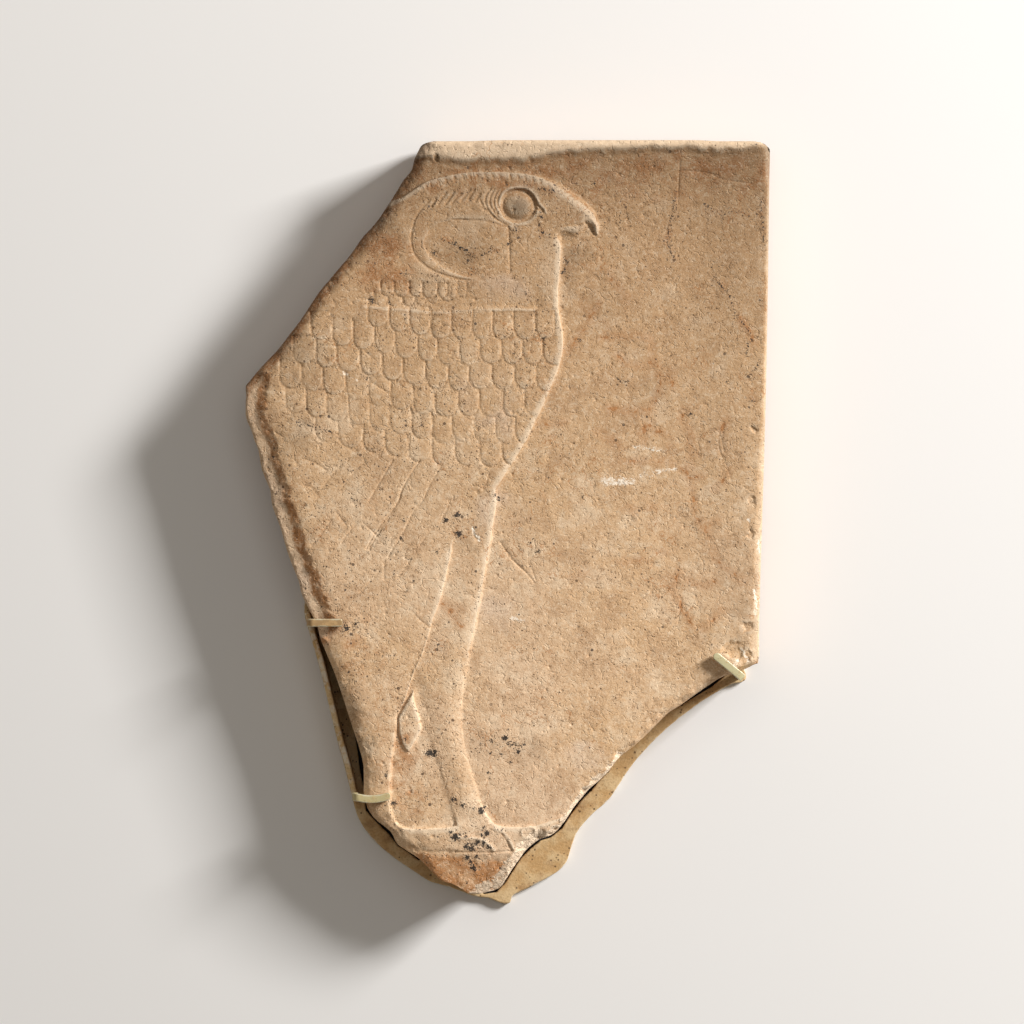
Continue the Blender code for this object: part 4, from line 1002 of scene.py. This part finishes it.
OCHRE = (0.60, 0.390, 0.212, 1.0)
PINK = (0.66, 0.462, 0.295, 1.0)
UMBER = (0.40, 0.235, 0.12, 1.0)
TOP_BROWN = (0.43, 0.235, 0.105, 1.0)
BROWN = (0.40, 0.18, 0.066, 1.0)
CREAM = (0.76, 0.60, 0.42, 1.0)
WORN_AND_HIGHLIGHT = (0.80, 0.67, 0.50, 1.0)
CHALK = (0.90, 0.80, 0.66, 1.0)
FRESH = (0.92, 0.73, 0.53, 1.0)
SOOT = (0.085, 0.060, 0.045, 1.0)
BLACK = (0.028, 0.024, 0.022, 1.0)
RUST = (0.40, 0.17, 0.055, 1.0)
BLOOM = (0.68, 0.52, 0.38, 1.0)
EARTH = (0.15, 0.085, 0.045, 1.0)

limestone, place = new_finish("limestone")
known = {name: stored(limestone, name) for name in STONE_MARKS}
up_slab = put("ShaderNodeSeparateXYZ", {0: place}, out=1)


def specks(place, spacing, radius, density, seed):
    """Round specks from 0 to 1: cells of about the given spacing in millimetres, each with a speck of
    its own random size where its random number is below the density."""
    place = put("ShaderNodeVectorMath", {0: place, 1: (seed, seed * 0.7, 0.0)}, operation="ADD")
    cells = put("ShaderNodeTexVoronoi", {"Vector": place, "Scale": 1000.0 / spacing}, out=1)
    chosen = put("ShaderNodeSeparateColor", {0: cells})
    size = product(sum_of(chosen.node.outputs[1], 0.5), radius / spacing)
    inner = sum_of(size, cells.node.outputs["Distance"], "SUBTRACT")
    present = range_of(sum_of(density, chosen, "SUBTRACT"), 0.0, 0.03)
    return product(range_of(inner, 0.0, 0.25 * radius / spacing), present)


# The stone's colour: ochre to pink, blotched, grained and dented, browner towards the top and stained,
# with painted shade in the cove and the cuts and painted highlight on proud places.
patches = grain(place, 13.0, 3.0, 0.55, 0.73)
blotch = grain(place, 9.0, 5.0, 0.6, 0.11)
small_blotch = grain(place, 2.6, 4.0, 0.65, 0.19)
fine = grain(place, 0.42, 2.0, 0.6, 0.41)
dent_noise = grain(place, 1.25, 4.0, 0.68, 0.66)
ragged = range_of(grain(place, 5.0, 4.0, 0.62, 0.21), 0.30, 0.72, -0.35, 0.35)
pinkness = product(range_of(grain(place, 48.0, 3.0, 0.5, 0.31), 0.38, 0.62), range_of(up_slab, 0.06, -0.08))
colour = layers(
    blend(pinkness, OCHRE, PINK),
    (UMBER, blotch, 0.50, 0.66, 0.48),
    (CREAM, blotch, 0.48, 0.34, 0.45),
    (UMBER, small_blotch, 0.52, 0.68, 0.40),
    (CREAM, small_blotch, 0.46, 0.32, 0.40),
    (BLOOM, sum_of(known["pale"], range_of(blotch, 0.3, 0.7, -0.2, 0.2)), 0.1, 0.9, 0.8),
    (TOP_BROWN, up_slab, -0.01, 0.105, 0.50),
    (BROWN, sum_of(known["stain_and_shade"], ragged), 0.15, 0.95, 1.0),
    (UMBER, fine, 0.50, 0.70, 0.42),
    (CREAM, fine, 0.50, 0.30, 0.42),
)
dents = product(range_of(dent_noise, 0.56, 0.68), range_of(patches, 0.38, 0.60, 0.35, 1.0))
# Proud places lighter, as wear and painted highlight; deep cuts darker, as painted shade.
colour = layers(
    blend(product(dents, 0.58), colour, UMBER),
    (CREAM, dent_noise, 0.45, 0.34, 0.42),
    (WORN_AND_HIGHLIGHT, known["relief"], 0.10, 0.8, 0.45),
    (UMBER, known["relief"], -0.12, -0.8, 0.62),
)

# Rust along its lines and in thin veins, then the tone of each place, scuffs and the fresh fracture.
wobble = range_of(grain(place, 1.8, 3.0, 0.6, 0.61), 0.30, 0.70, -0.4, 0.4)
near_rust = sum_of(known["rust"], wobble)
rusty = range_of(near_rust, -0.48, -0.12, 0.0, 0.80)
halo = range_of(near_rust, -2.0, -0.3, 0.0, 0.28)
vein = range_of(off_half(grain(place, 7.5, 3.0, 0.55, 1.31)), 0.010, 0.003, 0.0, 0.6)
vein = product(vein, range_of(grain(place, 16.0, 2.0, 0.5, 1.71), 0.50, 0.62))
colour = blend(sum_of(rusty, halo, "MAXIMUM"), colour, RUST)
colour = blend(vein, colour, RUST)
colour = put("ShaderNodeVectorMath", {0: colour, "Scale": known["tone"]}, operation="SCALE")
uneven = range_of(grain(place, 0.55, 3.0, 0.7, 0.97), 0.28, 0.72, -0.55, 0.55)
granular = range_of(grain(place, 1.3, 4.0, 0.7, 0.27), 0.36, 0.62, 0.45, -0.45)
colour = layers(
    colour,
    (CHALK, sum_of(known["scuff"], product(uneven, 0.7)), -0.55, -0.05, 0.92),
    (FRESH, sum_of(known["fresh"], granular), 0.35, 0.85, 0.90),
)

# Dirt lies on top: specks of three sizes, thickest near the crusts, and the crusts themselves.
density = product(known["soil"], range_of(patches, 0.40, 0.64, 0.25, 1.35))
density = sum_of(density, range_of(known["crust"], -1.9, 0.2), "MAXIMUM")
dirt = specks(place, 0.62, 0.13, density, 0.47)
dirt = sum_of(dirt, specks(place, 1.0, 0.19, density, 0.17), "MAXIMUM")
dirt = sum_of(dirt, specks(place, 2.1, 0.33, product(density, 0.7), 0.37), "MAXIMUM")
speck_colour = blend(range_of(small_blotch, 0.40, 0.60), SOOT, EARTH)
colour = blend(product(dirt, 0.85), colour, speck_colour)
colour = layers(colour, (BLACK, sum_of(known["crust"], uneven), 0.20, 0.42, 0.94))


def nicks(place, size, width, seed):
    """Short curved nicks from 0 to 1: the thin line where one noise crosses one half, kept only where
    a second noise is high."""
    chosen = range_of(grain(place, 0.7 * size, 1.0, 0.5, seed + 0.4), 0.54, 0.62)
    return product(range_of(off_half(grain(place, size, 1.0, 0.5, seed)), width, 0.0), chosen)


def hairlines(place, turn, width, seed):
    """Fine scratches in one direction: noise stretched fifteen times along it, raised to 1 where the
    noise crosses one half."""
    turned = put("ShaderNodeVectorRotate", {"Vector": place, "Angle": turn}, rotation_type="Z_AXIS")
    stretched = put("ShaderNodeVectorMath", {0: turned, 1: (1.0, 0.066, 1.0)}, operation="MULTIPLY")
    return range_of(off_half(grain(stretched, width, 1.0, 0.5, seed)), 0.035, 0.0)


scratch = sum_of(hairlines(place, 0.5, 1.9, 0.57), hairlines(place, -0.7, 2.3, 0.87), "MAXIMUM")
scratch = product(scratch, range_of(grain(place, 6.0, 2.0, 0.5, 0.77), 0.52, 0.66))
nicked = sum_of(nicks(place, 3.4, 0.035, 2.3), nicks(place, 1.9, 0.06, 3.1), "MAXIMUM")
bumps = weighed(
    (grain(place, 2.6, 2.0, 0.5, 0.51), 0.22),
    (grain(place, 0.30, 1.0, 0.5, 0.91), 0.075),
    (dents, -0.10),
    (scratch, -0.025),
    (nicked, -0.085),
    (dirt, -0.05),
    (product(granular, known["fresh"]), 0.20),
)
roughness = range_of(fine, 0.3, 0.7, 0.80, 0.95)
coat(limestone, bumps, {"Base Color": colour, "Roughness": roughness, "Specular IOR Level": 0.25})
stone_mesh.materials.append(limestone)
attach(stone, "root")
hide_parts("limestone_relief")

# The cradle's back plate: sheet metal cut to follow the break and painted with dabs to look like the
# stone. The slab lies on it, and a crevice runs between the slab's edge and the plate's raised skin;
# the crevice's floor is painted near-black as painted shade.

PLATE_THICK, RIM_RADIUS = 2.0, 0.45
INNER_RINGS = 7
PLATE_HEART = (0.0, -20.0)
PLATE_RIM = [
    (-1.0, -104.0), (0.3, -103.9), (0.8, -103.2), (1.1, -102.1), (2.6, -101.0), (5.5, -99.7),
    (11.0, -96.8), (14.2, -94.7), (16.2, -92.1), (17.4, -88.2), (19.2, -84.0), (23.2, -79.4),
    (27.9, -75.1), (34.4, -65.5), (42.9, -56.6), (52.4, -49.2), (60.5, -44.4), (63.8, -43.6),
    (64.9, -41.9), (63.0, -36.0), (59.0, -22.0), (55.0, -10.0), (51.0, 12.0), (47.0, 30.0),
    (41.0, 45.0), (33.0, 54.0), (14.0, 58.5), (-6.0, 59.8), (-22.0, 58.4), (-34.0, 54.0),
    (-45.5, 45.0), (-54.0, 34.0), (-56.4, 21.0), (-56.9, 8.0), (-55.8, -6.0), (-54.7, -16.0),
    (-55.5, -24.0), (-54.1, -30.0), (-51.4, -39.2), (-48.9, -49.2), (-46.5, -59.4), (-44.8, -65.4),
    (-42.4, -74.9), (-40.8, -80.4), (-37.2, -85.9), (-31.6, -91.0), (-26.5, -94.5), (-21.6, -97.7),
    (-18.8, -98.6), (-14.0, -100.1), (-9.0, -102.0), (-5.2, -102.5), (-2.6, -103.6), (-1.0, -104.0),
]
# Each crevice: points with x, y and width in millimetres. The plate sinks along it, and its floor is painted
# near-black as painted shade.
CREVICES = [
    [
        (-50.8, -28.8, 1.2), (-49.3, -34.8, 1.2), (-47.0, -38.5, 1.5), (-44.8, -44.0, 1.7),
        (-43.5, -48.4, 1.7), (-42.1, -52.5, 1.8), (-41.0, -56.6, 1.8), (-40.0, -62.6, 1.9),
        (-39.5, -67.5, 1.7), (-38.7, -73.0, 1.1), (-38.0, -78.3, 1.5), (-35.7, -80.9, 1.5),
        (-31.8, -84.2, 2.2), (-29.6, -87.9, 1.1), (-27.0, -89.6, 1.0), (-24.2, -91.8, 0.9),
    ],
    [
        (-6.5, -101.0, 0.9), (-3.4, -100.4, 1.2), (-1.3, -97.9, 1.5), (0.9, -94.6, 1.4), (3.1, -91.3, 1.2),
        (5.8, -88.6, 1.3), (8.6, -86.2, 1.5), (11.3, -85.4, 1.5), (14.2, -82.9, 1.7), (16.6, -79.4, 1.4),
        (19.1, -75.7, 1.7), (22.1, -72.7, 1.8), (24.6, -69.9, 1.4), (27.3, -67.5, 1.0),
    ],
    [
        (47.0, -49.6, 1.0), (49.5, -47.8, 1.4), (55.2, -44.4, 1.4), (58.1, -42.0, 1.2),
    ],
]
AROUND = 1100


def length_along(line):
    """How far along a chain of points each one lies."""
    return np.concatenate([[0.0], np.cumsum(np.linalg.norm(np.diff(line, axis=0), axis=1))])


def even_steps(line, count):
    """The line again with its points at equal steps along it, the last one left out on a closed line."""
    length = length_along(line)
    wanted = np.linspace(0.0, length[-1], count, endpoint=False)
    return np.stack([np.interp(wanted, length, line[:, n]) for n in range(line.shape[1])], axis=1)


def crevice_depth(x, y):
    """How far inside a crevice a point lies, in millimetres: half the crevice's width there, which runs
    evenly from one point of its line to the next, less the distance from the line."""
    deepest = np.full(x.shape, -9.0)
    for line in CREVICES:
        for (x0, y0, w0), (x1, y1, w1) in zip(line, line[1:]):
            run = math.hypot(x1 - x0, y1 - y0)
            along = np.clip(((x - x0) * (x1 - x0) + (y - y0) * (y1 - y0)) / run**2, 0.0, 1.0)
            away = np.hypot(x - x0 - along * (x1 - x0), y - y0 - along * (y1 - y0))
            deepest = np.maximum(deepest, (w0 + (w1 - w0) * along) / 2 - away)
    return deepest


def rounded(inset):
    """How far a rounded rim falls off at a distance inside it: r (1 - sqrt(1 - (1 - d/r)²))."""
    return RIM_RADIUS * (1.0 - np.sqrt(1.0 - (1.0 - np.clip(inset / RIM_RADIUS, 0.0, 1.0)) ** 2))


def tube(name, rings, last_pole, first_pole):
    """A closed mesh of rings of points, one after another, with a fan at either end to its pole."""
    number = np.arange(rings.shape[0] * rings.shape[1]).reshape(rings.shape[:2])
    places = np.vstack([rings.reshape(-1, 3), [last_pole, first_pole]])
    fans = [cap_faces(number[-1], number.size), cap_faces(number[0], number.size + 1, turn=True)]
    return mesh_of(name, places, ring_faces(number), np.vstack(fans))


rim = even_steps(curve(PLATE_RIM, 6), AROUND)
rim[:, 1] = np.maximum(rim[:, 1], -104.0)
rim[:, 0] = np.minimum(rim[:, 0], 65.0)
heart = np.array(PLATE_HEART)
reach = np.linalg.norm(rim - heart, axis=1)
under_inset = np.array([0.0, 0.05, 0.15, 0.3, RIM_RADIUS])
inset = np.concatenate([under_inset[:-1], np.arange(0.55, 16.0, 0.28)])
share = np.concatenate([np.ones(len(inset)), np.linspace(1.0, 0.0, INNER_RINGS + 2)[1:-1]])
inset = np.concatenate([inset, np.full(INNER_RINGS, inset[-1])])
top_xy = heart + (rim - heart)[None] * ((1.0 - inset[:, None] / reach) * share[:, None])[..., None]
depth = crevice_depth(top_xy[..., 0], top_xy[..., 1])
waves = 0.05 * rough(top_xy[..., 0], top_xy[..., 1], 7.0, 301) - 0.06
top_z = PLATE_THICK - rounded(inset)[:, None] - 1.55 * ease(depth / 0.22) + waves * ease(inset / 1.0)[:, None]
under_xy = heart + (rim - heart)[None] * (1.0 - under_inset[:, None] / reach)[..., None]
under_z = np.repeat(rounded(under_inset)[:, None], AROUND, axis=1)
top = np.concatenate([top_xy, top_z[..., None]], axis=2)
under = np.concatenate([under_xy, under_z[..., None]], axis=2)[::-1]
plate_mesh = tube("back_plate", np.concatenate([under, top]), [*heart, PLATE_THICK], [*heart, 0.0])
depth = np.concatenate([np.full((len(under), AROUND), -9.0), depth])
edge = np.concatenate([np.zeros(len(under)), inset + 40.0 * (1 - share)])
mark(plate_mesh, "crevice", np.concatenate([depth.ravel(), [-9.0, -9.0]]))
mark(plate_mesh, "edge", np.concatenate([np.repeat(edge, AROUND), [50.0, 50.0]]))
plate = placed("back_plate", plate_mesh)

OCHRE_PAINT = (0.56, 0.355, 0.155, 1.0)
LIGHT_PAINT = (0.68, 0.50, 0.27, 1.0)
DARK_PAINT = (0.25, 0.125, 0.05, 1.0)
DAB = (0.09, 0.05, 0.022, 1.0)
BARE_AND_HIGHLIGHT = (0.74, 0.68, 0.56, 1.0)
SHADE = (0.006, 0.004, 0.003, 1.0)


def painted(name, shade_in_crevices=False):
    """Dabbed ochre paint: patches of a lighter and a darker tone, a fine grain, dark specks, and if asked
    painted shade in the crevices.
    """
    material, place = new_finish(name)
    patch = range_of(grain(place, 6.0, 4.0, 0.6, 0.15), 0.40, 0.64)
    fine = grain(place, 0.6, 3.0, 0.65, 0.25)
    size = range_of(grain(place, 5.0, 2.0, 0.6, 0.55), 0.42, 0.68, 0.04, 0.30)
    dots = put("ShaderNodeTexVoronoi", {"Vector": place, "Scale": 800.0})
    dabs = range_of(sum_of(size, dots, "SUBTRACT"), 0.0, 0.08, 0.0, 0.8)
    rubbed = sum_of(stored(material, "edge"), product(grain(place, 2.2, 3.0, 0.6, 0.45), 2.4))
    colour = layers(
        blend(patch, OCHRE_PAINT, LIGHT_PAINT),
        (DARK_PAINT, grain(place, 9.0, 4.0, 0.62, 0.35), 0.54, 0.72, 0.6),
        (DARK_PAINT, fine, 0.50, 0.70, 0.4),
        (LIGHT_PAINT, fine, 0.46, 0.30, 0.35),
    )
    colour = layers(blend(dabs, colour, DAB), (BARE_AND_HIGHLIGHT, rubbed, 1.35, 0.9, 0.75))
    # Painted shade: the crevice floors are painted near-black.
    if shade_in_crevices:
        colour = layers(colour, (SHADE, stored(material, "crevice"), -0.05, 0.16, 1.0))
    bumps = weighed((fine, 0.10), (dabs, 0.03), (patch, 0.08))
    roughness = range_of(fine, 0.3, 0.7, 0.55, 0.8)
    coat(material, bumps, {"Base Color": colour, "Roughness": roughness, "Specular IOR Level": 0.3})
    return material


plate_mesh.materials.append(painted("dabbed_plate_paint", shade_in_crevices=True))
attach(plate, "root")
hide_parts("cradle_back_plate")

# The rail: a strip of the same sheet standing on the plate's lower left edge, where it keeps the slab
# from sliding. Its upper edge is rounded and painted pale, as rubbed paint and as painted highlight;
# two of the claws are soldered to it.

RAIL_LINE = [
    (-54.2, -24.6), (-52.7, -30.4), (-50.1, -39.4), (-47.7, -49.4), (-45.2, -59.3), (-43.5, -65.2),
    (-41.1, -75.1),
]
RAIL_LOW, RAIL_HIGH, RAIL_HALF = 1.9, 16.5, 0.85


def swept(name, path, across, section, half_round):
    """A closed tube: the section's points are laid out at each point of the path along two directions,
    across and the one square to both across and the path. Near the path's last end the section's
    first measure shrinks like a half circle of the given radius, if there is one."""
    ahead = np.gradient(path, axis=0)
    ahead /= np.linalg.norm(ahead, axis=1)[:, None]
    upward = np.cross(ahead, across)
    upward /= np.linalg.norm(upward, axis=1)[:, None]
    length = length_along(path)
    from_end = length[-1] - length
    narrow = np.ones(len(path))
    if half_round:
        narrow = np.sqrt(np.clip(1.0 - (1.0 - np.clip(from_end / half_round, 0.0, 1.0)) ** 2, 0.04, 1.0))
    wide = section[None, :, 0] * narrow[:, None]
    rings = path[:, None] + wide[..., None] * across[:, None] + section[None, :, 1, None] * upward[:, None]
    return tube(name, rings, path[-1], path[0])


def soft_box(wide, tall, squareness):
    """An oval drawn out towards its corners: cosine and sine of the turn, each to a power below 1."""
    turn = np.linspace(0.0, 2 * math.pi, 40, endpoint=False)
    round_ones = np.stack([np.cos(turn), np.sin(turn)], axis=1)
    return np.sign(round_ones) * np.abs(round_ones) ** squareness * (wide, tall)


middle, tall = (RAIL_LOW + RAIL_HIGH) / 2, (RAIL_HIGH - RAIL_LOW) / 2
rail_path = even_steps(curve(RAIL_LINE, 12), 260)
rail_path = np.column_stack([rail_path, np.full(len(rail_path), middle)])
ahead = np.gradient(rail_path, axis=0)
sideways = np.column_stack([-ahead[:, 1], ahead[:, 0], np.zeros(len(ahead))])
sideways /= np.linalg.norm(sideways, axis=1)[:, None]
rail_section = soft_box(RAIL_HALF, tall, 0.35)
rail_mesh = swept("left_rail", rail_path, sideways, rail_section, 0.0)
# The top 1.6 millimetres get the pale bare colour: rubbed paint and painted highlight.
pale = np.where(rail_section[:, 1] > tall - 1.6, 0.0, 9.0)
mark(rail_mesh, "edge", np.concatenate([np.tile(pale, len(rail_path)), [9.0, 9.0]]))
rail = placed("left_rail", rail_mesh)
rail_mesh.materials.append(painted("dabbed_rail_paint"))
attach(rail, "root")
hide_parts("cradle_left_rail")

# The claws: three strips of brass bent over at a right angle, soldered on end to the rail and to the
# plate, and painted. Each reaches a centimetre over the slab's face and holds it; the paint is rubbed
# off along their edges.

CLAW_HALF, CLAW_THIN, CLAW_BEND, ARM_TOP = 1.08, 0.78, 1.0, 24.3
CLAWS = {
    "claw_upper_left": ((-54.3, -27.2), (-44.6, -27.2), 16.2, 0.0, 0.45, (0.37, 0.23, 0.10, 1.0)),
    "claw_lower_left": ((-42.0, -74.2), (-31.7, -73.9), 16.2, 0.75, 0.6, (0.50, 0.42, 0.21, 1.0)),
    "claw_right": ((63.6, -42.2), (55.7, -35.7), 1.9, 0.0, 1.0, (0.54, 0.49, 0.28, 1.0)),
}
claw_section = soft_box(CLAW_HALF, CLAW_THIN, 0.3)
corner_gap = np.hypot(CLAW_HALF - np.abs(claw_section[:, 0]), CLAW_THIN - np.abs(claw_section[:, 1]))
METAL = (0.66, 0.60, 0.42, 1.0)


def claw_mesh(name, start, tip, foot, sag, half_round):
    """A strip along a line that goes straight up, round a quarter circle and level to the tip; sag bows
    the level part sideways like half a sine wave."""
    heading = np.subtract(tip, start)
    reach = np.linalg.norm(heading)
    heading = heading / reach
    left_of = np.array([-heading[1], heading[0]])
    turn = np.linspace(0.0, math.pi / 2, 10)
    level = np.linspace(0.0, 1.0, 40)[1:]
    bend_x, bend_z = CLAW_THIN + CLAW_BEND, ARM_TOP - CLAW_THIN - CLAW_BEND
    side_view = np.vstack([
        np.column_stack([np.full(12, CLAW_THIN), np.linspace(foot, bend_z, 13)[:-1]]),
        np.column_stack([bend_x - CLAW_BEND * np.cos(turn), bend_z + CLAW_BEND * np.sin(turn)]),
        np.column_stack([bend_x + (reach - bend_x) * level, np.full(39, ARM_TOP - CLAW_THIN)]),
    ])
    bow = -sag * np.sin(math.pi * np.clip((side_view[:, 0] - CLAW_THIN) / (reach - CLAW_THIN), 0.0, 1.0))
    ground_plan = np.array(start) + side_view[:, :1] * heading + bow[:, None] * left_of
    path = np.column_stack([ground_plan, side_view[:, 1]])
    across = np.tile([*left_of, 0.0], (len(path), 1))
    mesh = swept(name, path, across, claw_section, half_round)
    length = length_along(path)
    near_tip = np.clip((length[-1] - length) / 1.2, 0.0, 1.0)
    edge = np.minimum(corner_gap, 0.25 + near_tip[:, None])
    mark(mesh, "edge", np.concatenate([edge.ravel(), [0.3, 9.0]]))
    return mesh


def claw_paint(name, tone):
    """Worn paint on brass: the claw's tone mottled with ochre, and bare metal where the edges are."""
    material, place = new_finish(name)
    patch = range_of(grain(place, 2.6, 3.0, 0.6, 0.85), 0.45, 0.68, 0.0, 0.7)
    fine = grain(place, 0.5, 3.0, 0.65, 0.65)
    rubbed = sum_of(stored(material, "edge"), product(grain(place, 1.4, 3.0, 0.6, 0.95), 1.1))
    bare = range_of(rubbed, 0.95, 0.6)
    colour = layers(blend(patch, tone, OCHRE_PAINT), (DARK_PAINT, fine, 0.55, 0.72, 0.5))
    coat(material, weighed((fine, 0.06), (patch, 0.04)), {
        "Base Color": blend(bare, colour, METAL),
        "Roughness": range_of(bare, 0.0, 1.0, 0.5, 0.32),
        "Metallic": range_of(bare, 0.0, 1.0, 0.0, 0.35),
    })
    return material


for node, (start, tip, foot, sag, half_round, tone) in CLAWS.items():
    mesh = claw_mesh(node + "_strip", start, tip, foot, sag, half_round)
    claw = placed(node + "_strip", mesh)
    mesh.materials.append(claw_paint(node + "_paint", tone))
    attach(claw, "root")
    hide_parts(node)

# The studio: a plain pale floor under the cradle, a raking light from the upper right as on a carved
# stone's usual photograph, a weak broad one from above, and a long lens straight over the face.
floor_mesh = bpy.data.meshes.new("floor")
FLOOR = 1.6
corners = [(-FLOOR, -FLOOR, 0), (FLOOR, -FLOOR, 0), (FLOOR, FLOOR, 0), (-FLOOR, FLOOR, 0)]
floor_mesh.from_pydata(corners, [], [(0, 1, 2, 3)])
floor = placed("floor", floor_mesh)
paper, _ = new_finish("floor_paper")
feed(paper.node_tree.nodes["Principled BSDF"], {"Base Color": (0.78, 0.77, 0.75, 1.0), "Roughness": 0.9})
floor_mesh.materials.append(paper)


def lamp(name, azimuth, elevation, distance, size, power, tint):
    """A square light that faces the middle of the stone from a direction in degrees."""
    a, e = math.radians(azimuth), math.radians(elevation)
    data = bpy.data.lights.new(name, "AREA")
    data.shape = "SQUARE"
    data.size = size
    data.energy = power
    data.color = tint
    thing = placed(name, data)
    towards = math.cos(e) * math.cos(a), math.cos(e) * math.sin(a), math.sin(e)
    thing.location = [distance * part for part in towards]
    thing.rotation_euler = (math.pi / 2 - e, 0.0, a + math.pi / 2)


lamp("raking_light", 30.0, 27.0, 1.6, 0.40, 43.0, (1.0, 0.985, 0.98))
lamp("overhead_light", 110.0, 75.0, 1.8, 1.6, 6.0, (1.0, 0.99, 0.97))
world = bpy.context.scene.world or bpy.data.worlds.new("studio")
bpy.context.scene.world = world
world.use_nodes = True
background = {"Color": (1.0, 0.87, 0.72, 1.0), "Strength": 0.16}
feed(world.node_tree.nodes["Background"], background)

lens = bpy.data.cameras.new("long_lens")
lens.lens = 300.0
lens.sensor_width = 36.0
lens.clip_end = 20.0
camera = placed("long_lens", lens)
CAMERA_ABOVE = 2.304
camera.location = (1.1475 * MM, 2.7 * MM, FACE * MM + CAMERA_ABOVE)
bpy.context.scene.camera = camera
bpy.context.scene.view_settings.view_transform = "Standard"
